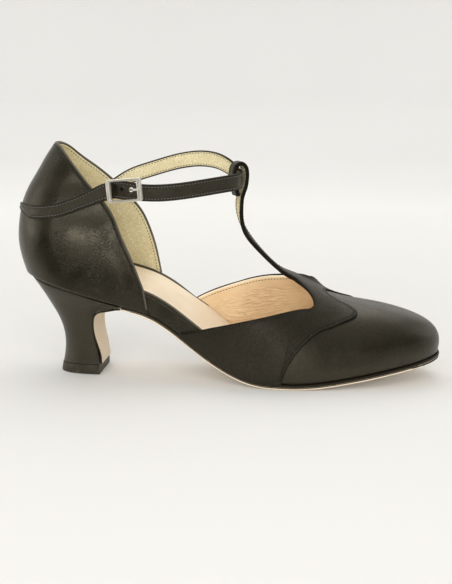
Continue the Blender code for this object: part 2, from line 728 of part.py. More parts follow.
def buckle_frame():
    b = BUCKLE
    outer = rounded(b["length"], b["height"], b["corner"])
    inner = rounded(b["length"] - 2 * b["end_bar"], b["height"] - 2 * b["side_bar"], 0.7)
    crown = rounded(b["length"] - 1.0, b["height"] - 0.9, b["corner"] - 0.4)
    inner_crown = rounded(b["length"] - 2 * b["end_bar"] + 1.0, b["height"] - 2 * b["side_bar"] + 0.7, 0.9)
    rings = ((outer, 0.0), (outer, b["depth"] * 0.55), (crown, b["depth"]),
             (inner_crown, b["depth"]), (inner, b["depth"] * 0.55), (inner, 0.0))
    bm = bmesh.new()
    ids = [[bm.verts.new(buckle_point(u, w, d)) for u, w in ring] for ring, d in rings]
    n = len(outer)
    for k in range(len(ids)):
        a = ids[k]
        c = ids[(k + 1) % len(ids)]
        for i in range(n):
            j = (i + 1) % n
            bm.faces.new([a[i], a[j], c[j], c[i]])
    return bm


def rod(name, points, radius, mat):
    """Round bar along points as a bevelled curve with closed ends."""
    curve = bpy.data.curves.new(name, 'CURVE')
    curve.dimensions = '3D'
    curve.bevel_depth = radius * MM
    curve.bevel_resolution = 2
    curve.use_fill_caps = True
    line = curve.splines.new('POLY')
    line.points.add(len(points) - 1)
    for p, q in zip(line.points, points):
        p.co = ((q[0] - CENTRE_X) * MM, (q[1] - CENTRE_Y) * MM, q[2] * MM, 1.0)
    curve.materials.append(mat)
    obj = bpy.data.objects.new(name, curve)
    group("dance_shoe").objects.link(obj)
    return obj


def punch(name, a, b, radius):
    """Cylinder from a to b that cuts a strap hole."""
    a = Vector(((a[0] - CENTRE_X) * MM, (a[1] - CENTRE_Y) * MM, a[2] * MM))
    b = Vector(((b[0] - CENTRE_X) * MM, (b[1] - CENTRE_Y) * MM, b[2] * MM))
    bm = bmesh.new()
    bmesh.ops.create_cone(bm, cap_ends=True, segments=14, radius1=radius * MM, radius2=radius * MM,
                          depth=(b - a).length)
    mesh = bpy.data.meshes.new(name)
    bm.to_mesh(mesh)
    bm.free()
    obj = bpy.data.objects.new(name, mesh)
    obj.location = (a + b) / 2
    obj.rotation_euler = (b - a).to_track_quat('Z', 'Y').to_euler()
    group("cutters").objects.link(obj)
    return obj


PRONG = ((-6.0, 0.0, -7.4), (-1.5, 0.0, -4.9), (1.6, 0.0, -3.9), (3.4, 0.0, -1.8), (5.0, 0.0, 0.9),
         (6.6, 0.0, 2.45), (9.8, 0.0, 2.55))


def hollow(target, cutter):
    """Cut one hole through a placed object."""
    cutter.hide_render = True
    cutter.display_type = 'WIRE'
    m = target.modifiers.new("hole", 'BOOLEAN')
    m.operation = 'DIFFERENCE'
    m.solver = 'EXACT'
    m.object = cutter


def join(target, others):
    """Unite pieces of one wall into a single solid."""
    for k, o in enumerate(others):
        m = target.modifiers.new("join%d" % k, 'BOOLEAN')
        m.operation = 'UNION'
        m.solver = 'EXACT'
        m.object = o
    graph = bpy.context.evaluated_depsgraph_get()
    mesh = bpy.data.meshes.new_from_object(target.evaluated_get(graph))
    mesh.name = target.name
    target.modifiers.clear()
    target.data = mesh
    for o in others:
        bpy.data.objects.remove(o, do_unlink=True)


def build():
    for o in list(bpy.data.objects):
        bpy.data.objects.remove(o, do_unlink=True)
    leather = material("black_leather", (0.012, 0.011, 0.010), 0.42)
    overlay = material("overlay_leather", (0.014, 0.013, 0.012), 0.42)
    strap = material("strap_leather", (0.014, 0.013, 0.012), 0.40)
    wrap = material("heel_leather", (0.010, 0.009, 0.009), 0.38)
    edge = material("edge_dye", (0.015, 0.013, 0.012), 0.5)
    suede = material("sole_suede", (0.62, 0.52, 0.40), 0.9)
    sock = material("sock_leather", (0.72, 0.60, 0.46), 0.65)
    rubber = material("top_rubber", (0.02, 0.02, 0.02), 0.7)
    steel = material("buckle_steel", (0.72, 0.72, 0.72), 0.22, 1.0)

    upper = place("upper", sheet([with_wall(counter_grid(), -COUNTER_WALL, 0.0)], (45, 0, 90)), leather)
    vamp_walls = [with_wall(g, -VAMP_WALL, 0.0) for g in vamp_blocks()]
    rest = [place("front", sheet(vamp_walls, (180, 0, 20)), leather)]
    for side in (-1, 1):
        band = with_wall(band_grid(side), -2.5, -1.0)
        rest.insert(0, place("band%d" % side, sheet([band], (90, 0, 40)), leather))
    join(upper, rest)
    place("vamp_overlay", sheet(overlay_blocks(), (150, 0, 20)), overlay)
    band = place("ankle_strap", sheet([ankle_strap()], (90, 0, 110)), strap)
    place("buckle_strap", sheet([buckle_strap()], (40, 0, 100)), strap)
    place("insole", insole(), sock)
    place("midsole", midsole(), edge)
    place("outsole", outsole(), suede)
    place("heel", heel(), wrap)
    place("top_piece", top_piece(), rubber)
    place("buckle_frame", buckle_frame(), steel)
    prong = [tuple(buckle_point(*p)) for p in PRONG]
    rod("buckle_prong", prong, 0.65, steel)
    hollow(band, punch("strap_hole", buckle_point(2.0, 0, -4.9), buckle_point(4.8, 0, 1.3), 1.4))


build()
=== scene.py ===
import json
import math

import bmesh
import bpy
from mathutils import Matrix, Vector
from mathutils.bvhtree import BVHTree
from mathutils.kdtree import KDTree

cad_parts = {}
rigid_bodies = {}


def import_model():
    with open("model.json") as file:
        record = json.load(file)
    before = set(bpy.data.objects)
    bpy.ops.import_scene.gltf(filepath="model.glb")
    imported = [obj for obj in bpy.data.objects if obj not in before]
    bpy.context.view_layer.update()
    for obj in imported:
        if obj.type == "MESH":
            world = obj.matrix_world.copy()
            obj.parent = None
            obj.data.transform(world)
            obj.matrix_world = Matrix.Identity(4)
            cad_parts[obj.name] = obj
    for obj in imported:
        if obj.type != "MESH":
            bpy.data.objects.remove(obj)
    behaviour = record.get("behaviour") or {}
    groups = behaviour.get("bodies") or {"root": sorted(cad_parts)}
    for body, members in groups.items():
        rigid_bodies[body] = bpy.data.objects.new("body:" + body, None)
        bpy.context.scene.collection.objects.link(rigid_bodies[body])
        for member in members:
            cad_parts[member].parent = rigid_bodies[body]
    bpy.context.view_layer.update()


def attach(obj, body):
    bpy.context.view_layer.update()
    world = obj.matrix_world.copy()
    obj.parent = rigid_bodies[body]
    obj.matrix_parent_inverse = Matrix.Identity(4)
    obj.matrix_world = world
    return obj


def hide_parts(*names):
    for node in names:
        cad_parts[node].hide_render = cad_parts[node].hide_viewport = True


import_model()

# Footbed
# The insole board of the shoe carries a thin foam pad, and one pale leather sock is glued over both.
# Lengths here and below are millimetres: x from the heel back, y to the inner side, z from the floor.
TOE_END = 239.8
HEEL_END = 3.6
HEEL_ROUND = 30.0
TOE_ROUND = 192.0
HEEL_POWER = 2.3
TOE_POWER = 2.2
MIDDLE_X = 119.89
MIDDLE_Y = -1.669
# Feather line in two parts: x, height
BED_REAR = ((0, 60.1), (12, 56.9), (30, 51.2), (50, 45.0), (66, 40.9), (76, 37.8), (86, 32.7),
            (97, 25.2), (108, 17.4), (120, 10.3), (132, 5.3), (142, 3.3), (150, 3.0))
BED_FRONT = ((160, 3.0), (170, 3.7), (182, 5.2), (196, 7.4), (212, 10.2), (228, 13.2), (240, 15.6))
# Half widths of the feather line: x, outer, inner
HALF = ((0, 23.6, 23.6), (32, 24.6, 24.2), (60, 23.4, 22.4), (80, 23.4, 20.2), (100, 27.0, 19.8),
        (120, 32.4, 24.6), (140, 37.0, 31.4), (158, 38.8, 36.0), (175, 37.8, 36.6),
        (195, 34.0, 34.4), (215, 30.5, 32.0), (240, 29.5, 31.0))


def spline(rows, col=1):
    """Natural cubic through rows (x, ..., y in column col), straight beyond the ends."""
    xs = [r[0] for r in rows]
    ys = [r[col] for r in rows]
    n = len(xs)
    h = [xs[i + 1] - xs[i] for i in range(n - 1)]
    c = [0.0] * n
    d = [0.0] * n
    m = [0.0] * n
    for i in range(1, n - 1):
        k = 2.0 * (h[i - 1] + h[i]) - h[i - 1] * c[i - 1]
        c[i] = h[i] / k
        r = 6.0 * ((ys[i + 1] - ys[i]) / h[i] - (ys[i] - ys[i - 1]) / h[i - 1])
        d[i] = (r - h[i - 1] * d[i - 1]) / k
    for i in range(n - 2, 0, -1):
        m[i] = d[i] - c[i] * m[i + 1]
    first = (ys[1] - ys[0]) / h[0] - h[0] * (2 * m[0] + m[1]) / 6.0
    last = (ys[-1] - ys[-2]) / h[-1] + h[-1] * (m[-2] + 2 * m[-1]) / 6.0

    def value(x):
        if x <= xs[0]:
            return ys[0] + first * (x - xs[0])
        if x >= xs[-1]:
            return ys[-1] + last * (x - xs[-1])
        i = 0
        while x > xs[i + 1]:
            i += 1
        a = (xs[i + 1] - x) / h[i]
        b = (x - xs[i]) / h[i]
        bend = (a ** 3 - a) * m[i] + (b ** 3 - b) * m[i + 1]
        return a * ys[i] + b * ys[i + 1] + bend * h[i] ** 2 / 6.0
    return value


def smooth(a, b, x):
    t = min(1.0, max(0.0, (x - a) / (b - a)))
    return t * t * (3.0 - 2.0 * t)


def mix(a, b, t):
    return tuple(p + (q - p) * t for p, q in zip(a, b))


def steps(a, b, n):
    return [a + (b - a) * i / n for i in range(n + 1)]


bed_rear = spline(BED_REAR)
bed_front = spline(BED_FRONT)
half_out = spline(HALF, 1)
half_in = spline(HALF, 2)


def bed(x):
    """Height of the feather line, level under the ball of the foot."""
    if x < 150.0:
        return max(bed_rear(x), 3.0)
    if x > 160.0:
        return max(bed_front(x), 3.0)
    return 3.0


def body_half(x, side):
    return half_out(x) if side < 0 else half_in(x)


def half(x, side, grow=0.0):
    """Half width of the feather line with rounded heel and toe, moved out by grow."""
    w = body_half(x, side) + grow
    if x < HEEL_ROUND:
        k = min(1.0, (HEEL_ROUND - x) / (HEEL_ROUND - HEEL_END + grow))
        w *= (1.0 - k ** HEEL_POWER) ** (1 / HEEL_POWER)
    if x > TOE_ROUND:
        k = min(1.0, (x - TOE_ROUND) / (TOE_END + grow - TOE_ROUND))
        w *= (1.0 - k ** TOE_POWER) ** (1 / TOE_POWER)
    return w


def sock_rise(x, side):
    """Height of the footbed's edge over the feather line; the arch side is higher."""
    base = 12.6 - 7.6 * smooth(104.0, 150.0, x)
    arch = 4.4 * smooth(30.0, 60.0, x) * (1.0 - smooth(104.0, 140.0, x))
    return base + (arch if side > 0 else 0.0)


def world(p):
    """Point in metres in the frame, from millimetres in the shoe's own sizes."""
    return ((p[0] - MIDDLE_X) / 1000, (p[1] - MIDDLE_Y) / 1000, p[2] / 1000)


def shoe_xz(p):
    """Length and height in the shoe's own sizes, from a point in the frame."""
    return (p.x * 1000 + MIDDLE_X, p.z * 1000)


def mark(piece, name, values):
    """Give each point of a piece a value that its finish can read."""
    piece.data.attributes.new(name, 'FLOAT', 'POINT').data.foreach_set("value", values)


def placed(name, data):
    """New object in the scene, at the origin."""
    made = bpy.data.objects.new(name, data)
    bpy.context.scene.collection.objects.link(made)
    return made


def put(name, points, faces, finishes, index=None, sharp=42.0):
    """A closed piece from millimetre points, its faces turned outward; index gives each face's finish."""
    mesh = bpy.data.meshes.new(name)
    mesh.from_pydata([world(p) for p in points], [], faces)
    for finish in finishes:
        mesh.materials.append(finish)
    if index:
        mesh.polygons.foreach_set("material_index", index)
    bm = bmesh.new()
    bm.from_mesh(mesh)
    bmesh.ops.recalc_face_normals(bm, faces=bm.faces[:])
    if bm.calc_volume(signed=True) < 0:
        bmesh.ops.reverse_faces(bm, faces=bm.faces[:])
    bm.to_mesh(mesh)
    bm.free()
    mesh.shade_smooth()
    mesh.set_sharp_from_angle(angle=math.radians(sharp))
    return placed(name, mesh)


def loft(name, rings, finish, sharp=42.0, closed=False):
    """Skin through rings of equal length: closed on itself, or with a flat face on both ends."""
    n = len(rings[0])
    points = [p for ring in rings for p in ring]
    faces = [] if closed else [list(range(n)), list(range(len(points) - n, len(points)))]
    for k in range(len(rings) if closed else len(rings) - 1):
        m = (k + 1) % len(rings)
        for i in range(n):
            j = (i + 1) % n
            faces.append([k * n + i, k * n + j, m * n + j, m * n + i])
    return put(name, points, faces, [finish.made], sharp=sharp)


class Pin:
    """One output of a shader node that can stand in a sum or a product."""

    def __init__(self, finish, socket):
        self.finish = finish
        self.socket = socket

    def maths(self, operation, first, second):
        return self.finish.node('ShaderNodeMath', {"operation": operation}, {0: first, 1: second})

    def __add__(self, other):
        return self.maths('ADD', self, other)

    def __radd__(self, other):
        return self.maths('ADD', other, self)

    def __sub__(self, other):
        return self.maths('SUBTRACT', self, other)

    def __rsub__(self, other):
        return self.maths('SUBTRACT', other, self)

    def __mul__(self, other):
        return self.maths('MULTIPLY', self, other)

    def __rmul__(self, other):
        return self.maths('MULTIPLY', other, self)


class Finish:
    """One surface: a Principled shader and the nodes that drive it."""

    def __init__(self, name, **fixed):
        self.made = bpy.data.materials.new(name)
        self.made.use_nodes = True
        self.shader = self.made.node_tree.nodes["Principled BSDF"]
        for key, value in fixed.items():
            self.shader.inputs[key.replace("_", " ")].default_value = value
        self.at = self.node('ShaderNodeTexCoord', {}, {}, "Object")

    def node(self, kind, settings, sockets, pick=0):
        made = self.made.node_tree.nodes.new(kind)
        for key, value in settings.items():
            if key == "stops":
                ramp = made.color_ramp
                while len(ramp.elements) < len(value):
                    ramp.elements.new(1.0)
                for element, (place, tone) in zip(ramp.elements, value):
                    element.position = place
                    element.color = (tone, tone, tone, 1.0)
            else:
                setattr(made, key, value)
        self.plug(made, sockets)
        return Pin(self, made.outputs[pick])

    def plug(self, made, sockets):
        for key, value in sockets.items():
            if isinstance(value, Pin):
                self.made.node_tree.links.new(value.socket, made.inputs[key])
            else:
                made.inputs[key].default_value = value

    def drive(self, **sockets):
        self.plug(self.shader, {key.replace("_", " "): value for key, value in sockets.items()})

    def cloud(self, scale, detail=2.0, rough=0.5, at=None):
        return self.node('ShaderNodeTexNoise', {}, {"Vector": at or self.at, "Scale": scale, "Detail": detail,
                                                    "Roughness": rough}, "Fac")

    def stretched(self, scale):
        return self.node('ShaderNodeMapping', {}, {"Vector": self.at, "Scale": scale})

    def cells(self, scale, at=None):
        return self.node('ShaderNodeTexVoronoi', {"feature": 'DISTANCE_TO_EDGE'},
                         {"Vector": at or self.at, "Scale": scale}, "Distance")

    def ramp(self, pin, *stops):
        return self.node('ShaderNodeValToRGB', {"stops": stops}, {"Fac": pin}, "Color")

    def tint(self, amount, first, second):
        colours = [c if isinstance(c, Pin) else (*c, 1.0) for c in (first, second)]
        return self.node('ShaderNodeMix', {"data_type": 'RGBA'}, {0: amount, 6: colours[0], 7: colours[1]}, 2)

    def relief(self, height, depth, strength=1.0):
        sockets = {"Height": height, "Distance": depth / 1000, "Strength": strength}
        return self.node('ShaderNodeBump', {}, sockets)

    def mark(self, name):
        return self.node('ShaderNodeAttribute', {"attribute_name": name}, {}, "Fac")


def pale_leather(name, light, dark, pores, gloss, grain=900.0, dyed=0.0):
    """Undyed lining or sock leather: fine pores, clouds of colour, a low sheen and an edge dyed black."""
    f = Finish(name, Specular_IOR_Level=0.35)
    cloud = f.cloud(55.0, 3.0)
    pore = f.ramp(f.cells(grain), (0.03, 0.0), (0.22, 1.0))
    fleck = f.ramp(f.cloud(grain * 1.3, 2.0), (0.36, 0.0), (0.60, 1.0))
    tone = f.tint(f.ramp(cloud, (0.34, 0.0), (0.66, 1.0)), light, mix(light, dark, 0.35))
    tone = f.tint((1.0 - pore * fleck) * pores, tone, dark)
    if dyed:
        edge = f.ramp(f.mark("from_edge") * (0.5 / dyed), (0.42, 1.0), (0.58, 0.0))
        tone = f.tint(edge, tone, (0.012, 0.010, 0.007))
    height = pore * 0.6 + f.cloud(2200.0, 3.0) * 0.4
    f.drive(Base_Color=tone, Roughness=gloss + 0.16 * cloud, Normal=f.relief(height, 0.14, 0.6))
    return f


sock_leather = pale_leather("sock_leather", (0.93, 0.80, 0.61), (0.74, 0.57, 0.39), 0.14, 0.46, 1400.0)
inset = -3.1
nose = [196.0 + (TOE_END + inset - 196.0) * math.sin(a) for a in steps(0.0, 1.5, 26)][1:]
tail = [30.0 - (30.0 - HEEL_END + inset) * math.sin(a) for a in steps(1.5, 0.0, 26)]
footbed_rings = []
for x in tail[:-1] + steps(30.0, 196.0, 90) + nose:
    a = half(x, -1, inset)
    b = half(x, 1, inset)
    ring = [(x, -a + (a + b) * r, bed(x) + 0.1) for r in steps(0.0, 1.0, 12)]
    for k in steps(1.0, 0.0, 40):
        r = 0.5 - 0.5 * math.cos(k * math.pi)
        rise = sock_rise(x, -1) + (sock_rise(x, 1) - sock_rise(x, -1)) * r
        lip = max(0.0, 1.0 - min(r, 1.0 - r) * (a + b) / 1.2)
        fall = 0.25 + 1.2 * (4 * r * (1 - r)) + 0.9 * (1.0 - math.sqrt(1.0 - lip * lip))
        ring.append((x, -a + (a + b) * r, bed(x) + rise - fall))
    footbed_rings.append(ring)
footbed = loft("footbed", footbed_rings, sock_leather)
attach(footbed, "root")
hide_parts("insole")

# Waist covers
# Between the counter and the vamp the sides of the shoe are open. There the shank and the insole board
# are wrapped in a narrow band of the same black calf, drawn tight and glued under the sole.
# Bulge of the sides over the feather line: height, share of the half width
SWELL = ((0, 1.0), (14, 1.045), (34, 1.01), (55, 0.87), (74, 0.72), (90, 0.64))
swell = spline(SWELL)
NO_EDGE = 50.0


class Wall:
    """Leather of even thickness over welded grids of (x, y, z, low, high), with its normals and edges."""

    def __init__(self, blocks, inside, crease=None):
        bm = bmesh.new()
        seen = {}
        self.span = []
        self.ids = []
        for grid in blocks:
            rows = []
            for row in grid:
                line = []
                for p in row:
                    key = tuple(round((c + 0.00037) / 0.02) for c in p[:3])
                    if key not in seen:
                        seen[key] = len(self.span)
                        bm.verts.new(p[:3])
                        self.span.append(p[3:5])
                    line.append(seen[key])
                rows.append(line)
            self.ids.append(rows)
        bm.verts.ensure_lookup_table()
        for rows in self.ids:
            for a, b in zip(rows, rows[1:]):
                for i in range(len(a) - 1):
                    ring = [a[i], a[i + 1], b[i + 1], b[i]]
                    ring = [bm.verts[v] for k, v in enumerate(ring) if v not in ring[:k]]
                    if len(ring) > 2 and not bm.faces.get(ring):
                        bm.faces.new(ring)
        bmesh.ops.recalc_face_normals(bm, faces=bm.faces[:])
        bm.normal_update()
        centre = Vector(inside)
        if sum(v.normal.dot(v.co - centre) for v in bm.verts) < 0:
            bmesh.ops.reverse_faces(bm, faces=bm.faces[:])
        bm.normal_update()
        if crease:
            moves = [v.normal * crease(v.co) for v in bm.verts]
            for v, move in zip(bm.verts, moves):
                v.co += move
            bm.normal_update()
        self.at = [v.co.copy() for v in bm.verts]
        self.normal = [v.normal.copy() for v in bm.verts]
        self.faces = [[v.index for v in f.verts] for f in bm.faces]
        self.rims = []
        self.out = {}
        for e in bm.edges:
            if len(e.link_faces) == 1:
                a, b = e.verts
                self.rims.append((a.index, b.index))
                away = (a.co + b.co) / 2 - e.link_faces[0].calc_center_median()
                along = (b.co - a.co).normalized()
                away -= along * away.dot(along)
                for v in (a, b):
                    self.out[v.index] = self.out.get(v.index, Vector()) + away.normalized()
        for v, away in self.out.items():
            away -= self.normal[v] * away.dot(self.normal[v])
            away.normalize()
        bm.free()
        self.tree = BVHTree.FromPolygons(self.at, self.faces)

    def piece(self, name, finishes, bulge=0.35, turns=5, rim=0):
        """Closed mesh with rounded edges: the first finish outside, the last inside, the rim as given."""
        n = len(self.at)
        points = [p + m * s[0] for p, m, s in zip(self.at, self.normal, self.span)]
        points += [p + m * s[1] for p, m, s in zip(self.at, self.normal, self.span)]
        base = list(self.at) + list(self.at)
        chain = {}
        for v, away in self.out.items():
            low, high = self.span[v]
            chain[v] = [v]
            for k in range(1, turns):
                turn = math.pi * k / turns
                lift = (low + high) / 2 - (high - low) / 2 * math.cos(turn)
                chain[v].append(len(points))
                points.append(self.at[v] + self.normal[v] * lift + away * bulge * math.sin(turn))
                base.append(self.at[v])
            chain[v].append(n + v)
        faces = [[n + v for v in f] for f in self.faces]
        index = [0] * len(faces)
        for a, b in self.rims:
            for k in range(turns):
                faces.append([chain[a][k], chain[b][k], chain[b][k + 1], chain[a][k + 1]])
                index.append(rim)
        faces += [list(reversed(f)) for f in self.faces]
        index += [len(finishes) - 1] * len(self.faces)
        made = put(name, points, faces, [f.made for f in finishes], index, 60.0)
        sewn = [v for v in self.out if self.at[v].z > bed(self.at[v].x) + 2.5]
        edge = KDTree(max(1, len(sewn)))
        for k, v in enumerate(sewn):
            edge.insert(self.at[v], k)
        edge.balance()
        mark(made, "from_edge", [edge.find(p)[2] if sewn else NO_EDGE for p in base])
        return made

    def seam(self, edge, inset, outside=True):
        """Points and normals of a line that runs inset from an ordered edge, on the outer or inner face."""
        line = []
        for v in edge:
            if v not in self.out:
                continue
            at, normal, _, _ = self.tree.find_nearest(self.at[v] - self.out[v] * inset)
            normal = normal if normal.dot(self.normal[v]) > 0 else -normal
            low, high = self.span[v]
            line.append((at + normal * (high if outside else low), normal if outside else -normal))
        return line


WARM = (1.0, 0.90, 0.68, 1.0)


def black_calf(name, deep, lit, shine, grain=800.0, depth=0.075, sewn=1.6, painted_rim_tone=(0.115, 0.105, 0.085),
               band=0.6, gloss=0.68):
    """Black dyed calf: uneven grain, a soft gloss, rims painted in a given tone (pale by default as a painted
    highlight, near black on the overlay as a painted shadow line), a pressed line under the stitches darkened
    as painted shade, and a painted shadow along the top of the heel where the heel marks it.
    """
    f = Finish(name, Specular_IOR_Level=gloss, Specular_Tint=WARM, Coat_Roughness=0.34)
    cloud = f.cloud(38.0, 3.0)
    drift = f.node('ShaderNodeTexNoise', {}, {"Vector": f.at, "Scale": 380.0}, "Color")
    warp = f.node('ShaderNodeMix', {"data_type": 'VECTOR'}, {0: 0.0016, 4: f.at, 5: drift}, 1)
    pebble = f.ramp(f.cells(grain, at=warp), (0.02, 0.0), (0.30, 1.0))
    patch = f.ramp(f.cloud(95.0, 2.0), (0.36, 0.25), (0.62, 1.0))
    fleck = f.ramp(f.cloud(grain, 1.0), (0.40, 0.0), (0.62, 1.0))
    far = f.mark("from_edge")
    rim_paint = f.ramp(far * (0.85 / band), (0.15, 1.0), (0.85, 0.0))
    joint = f.mark("joint")
    groove_and_shade = f.ramp(far * (0.25 / sewn), (0.16, 0.0), (0.25, 1.0), (0.34, 0.0))
    height = pebble * patch + f.cloud(2400.0, 2.0) * 0.3 + f.cloud(420.0, 2.0) * 0.4 - groove_and_shade * 3.0
    tone = f.tint(f.ramp(cloud, (0.3, 0.0), (0.7, 1.0)), deep, lit)
    # Painted highlight along the rims in the rim tone; where the rim tone is near black, as on the overlay,
    # it is a painted shadow line.
    tone = f.tint(rim_paint * 0.75, tone, painted_rim_tone)
    # Painted shade: the pressed groove under the stitches is darkened.
    tone = f.tint(groove_and_shade * 0.85, tone, (0.002, 0.0017, 0.001))
    # Painted shadow: near black along the top of the heel, under the counter's edge.
    tone = f.tint(joint, tone, (0.001, 0.0008, 0.0005))
    rough = shine + 0.06 * cloud + 0.10 * (1.0 - pebble) * patch + 0.4 * rim_paint + 0.3 * groove_and_shade + 0.5 * joint
    f.drive(Base_Color=tone, Roughness=rough, Coat_Weight=0.01 + fleck * 0.17,
            Normal=f.relief(height, depth, 0.8))
    return f


DYE = ((0.0050, 0.0040, 0.0016), (0.0085, 0.0069, 0.0032))
calf = black_calf("black_calf", *DYE, 0.25)
for side, rear, front in ((-1, 67.0, 116.0), (1, 60.0, 106.0)):
    band = []
    for x in steps(rear, front, 64):
        row = []
        proud = 0.15 - 1.1 * smooth(86.0, 101.0, x) if side > 0 else -0.3
        for h in steps(0.05, sock_rise(x, side) + proud, 16):
            k = 1.0 + (swell(h) - 1.0) * (1.0 - smooth(70.0, 92.0, x))
            row.append((x, side * body_half(x, side) * k, bed(x) + h, -2.5, -1.0))
        band.append(row)
    cover = Wall([band], (90, 0, 40)).piece("waist_cover_" + ("outer" if side < 0 else "inner"), [calf], 0.25)
    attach(cover, "root")
    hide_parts("upper")

# Vamp
# One piece of black calf is pulled over the last from the toe back to the ball of the foot, and a tan
# leather lining is glued inside it. Its two wings end at the open waist behind the cut-out throat.
# Top line of the vamp: x, height
RIDGE = ((90, 124), (128, 85), (140, 70.6), (150, 61.2), (158, 56.2), (166, 52.2), (175, 48.0),
         (185, 44.8), (191, 43.5), (196, 42.6))
# Throat edges of the wings: feather x, rise from 0 to 1
WING_OUT = ((94.5, 0.0), (101, 0.026), (112.5, 0.094), (123.7, 0.168), (134.6, 0.256), (145.4, 0.359),
            (156.1, 0.467), (163.0, 0.53), (167.4, 0.572))
WING_IN = ((90.0, 0.0), (97.0, 0.06), (104.3, 0.12), (118.9, 0.24), (127.7, 0.325), (136.6, 0.43),
           (148.6, 0.575), (158.0, 0.655), (166.0, 0.70))
TUCK = 1.0
TUCK_HIGH = 8.0
# Extra height of the inner throat: x, lift
THROAT_LIFT = ((120, 0.0), (130, 0.2), (142, 1.2), (149, 2.0), (155, 3.3), (160, 4.2), (165, 4.4), (169, 3.4),
               (174, 1.2), (180, 0.1), (190, 0.0))
ridge = spline(RIDGE)
throat_lift = spline(THROAT_LIFT)
wing_out = spline(WING_OUT)
wing_in = spline(WING_IN)


def spine(x):
    """Where the section that starts at feather x meets the ridge; the toe sections share one point."""
    if x <= 158.0:
        return x
    t = min(1.0, (x - 158.0) / 66.0)
    return 158.0 + 34.0 * (1.0 - (1.0 - t) ** (66.0 / 34.0))


def fullness(x):
    """Power of the rounded cross section, fuller towards the toe."""
    return 2.35 + 1.65 * smooth(175.0, 239.0, x)


def vamp(x, side, v):
    """Outer vamp surface: v runs from the feather line (0) to the ridge (1)."""
    xs = spine(x)
    if v > 0.99999:
        return (xs, 0.0, ridge(xs))
    n = fullness(x)
    c = max(0.0, math.cos(v * math.pi / 2)) ** (2 / n)
    s = max(0.0, math.sin(v * math.pi / 2)) ** (2 / n)
    top = ridge(xs) + (ridge(xs + 0.5) - ridge(xs - 0.5)) * (x - xs) * c
    rise = (top - bed(x)) * s
    drawn = TUCK * smooth(125.0, 150.0, x) * max(0.0, 1.0 - rise / TUCK_HIGH) ** 2
    c *= 1.0 - drawn / math.hypot(x - xs, half(x, side))
    if side > 0 and 120.0 < x < 190.0:
        rise += throat_lift(x) * smooth(0.25, 0.66, v) * (1.0 - smooth(0.76, 0.9, v))
    return (xs + (x - xs) * c, side * half(x, side) * c, bed(x) + rise)


def section(x, side, v0, v1, n):
    """Points of one vamp section from v0 to v1, spread evenly over the curve."""
    e = fullness(x) / 2
    u0, u1 = (v ** (1 / e) / (v ** (1 / e) + (1 - v) ** (1 / e)) for v in (v0, v1))
    points = []
    for u in steps(u0, u1, n):
        a = max(0.0, u) ** e
        b = max(0.0, 1 - u) ** e
        points.append(vamp(x, side, a / (a + b)))
    return points


def wing_top(x, side):
    return max(0.0, wing_out(x) if side < 0 else wing_in(x))


def creases(rows):
    """Soft troughs (-) and ridges (+): rows of start, end, half width and height."""
    lines = [(Vector(a), Vector(b) - Vector(a), width, rise) for a, b, width, rise in rows]

    def value(p):
        total = 0.0
        for a, along, width, rise in lines:
            t = min(1.0, max(0.0, (p - a).dot(along) / along.length_squared))
            d = (p - a - along * t).length / width
            if d < 3.0:
                total += rise * math.exp(-d * d)
        return total
    return value


def wrinkled_leather(name, light, dark):
    """Vamp lining: smooth tan leather with short soft wrinkles that run along the foot, their troughs
    darkened as painted shade.
    """
    f = Finish(name, Specular_IOR_Level=0.35)
    cloud = f.cloud(48.0, 3.0)
    fold = f.cloud(1.0, 2.0, 0.5, f.stretched((130.0, 130.0, 420.0)))
    line = f.ramp(fold, (0.36, 0.0), (0.50, 1.0), (0.60, 0.0))
    far = f.mark("from_edge")
    patch = f.ramp(f.cloud(40.0, 2.0), (0.34, 0.0), (0.50, 1.0)) * f.ramp(far * 0.1, (0.35, 0.0), (0.95, 1.0))
    pore = f.ramp(f.cells(1000.0), (0.02, 0.0), (0.18, 1.0))
    tone = f.tint(f.ramp(cloud, (0.34, 0.0), (0.66, 1.0)), light, mix(light, dark, 0.35))
    # Painted shade: the wrinkle troughs are darkened; the pores are darkened as grain.
    tone = f.tint(line * patch * 0.26 + (1.0 - pore) * 0.10, tone, dark)
    cut = f.ramp(far, (0.35, 1.0), (0.75, 0.0))
    tone = f.tint(cut * 0.6, tone, (0.97, 0.88, 0.70))
    height = pore * 0.10 + f.cloud(2300.0, 2.0) * 0.10 - line * patch
    f.drive(Base_Color=tone, Roughness=0.42 + 0.16 * cloud, Normal=f.relief(height, 0.42, 0.9))
    return f


tan_lining = wrinkled_leather("tan_lining", (0.93, 0.71, 0.44), (0.64, 0.40, 0.20))
VAMP_WALL = 1.4
vamp_blocks = []
for side, wing in ((-1, WING_OUT), (1, WING_IN)):
    grid = []
    for t in steps(0.0, 1.0, 56):
        x = wing[0][0] + (170.0 - wing[0][0]) * t ** 1.25
        row = section(x, side, 0.0, max(0.0, wing_top(x, side) - 0.003), 22)
        grid.append([(*p, -VAMP_WALL, 0.0) for p in row])
    vamp_blocks.append(grid)
ahead = [170.0 + (TOE_END - 170.0) * math.sin(a) for a in steps(0.0, math.pi / 2, 64)][:-1]
round_toe = [(-1, x) for x in ahead] + [(1, TOE_END)] + [(1, x) for x in reversed(ahead)]
low_toe = []
high_toe = []
for k, (side, x) in enumerate(round_toe):
    t = smooth(0, len(round_toe) - 1, k)
    v = (wing_top(170, -1) - 0.003) * (1 - t) + (wing_top(170, 1) - 0.003) * t
    low_toe.append([(*p, -VAMP_WALL, 0.0) for p in section(x, side, 0.0, v, 22)])
    high_toe.append([(*p, -VAMP_WALL, 0.0) for p in section(x, side, v, 1.0, 26)])
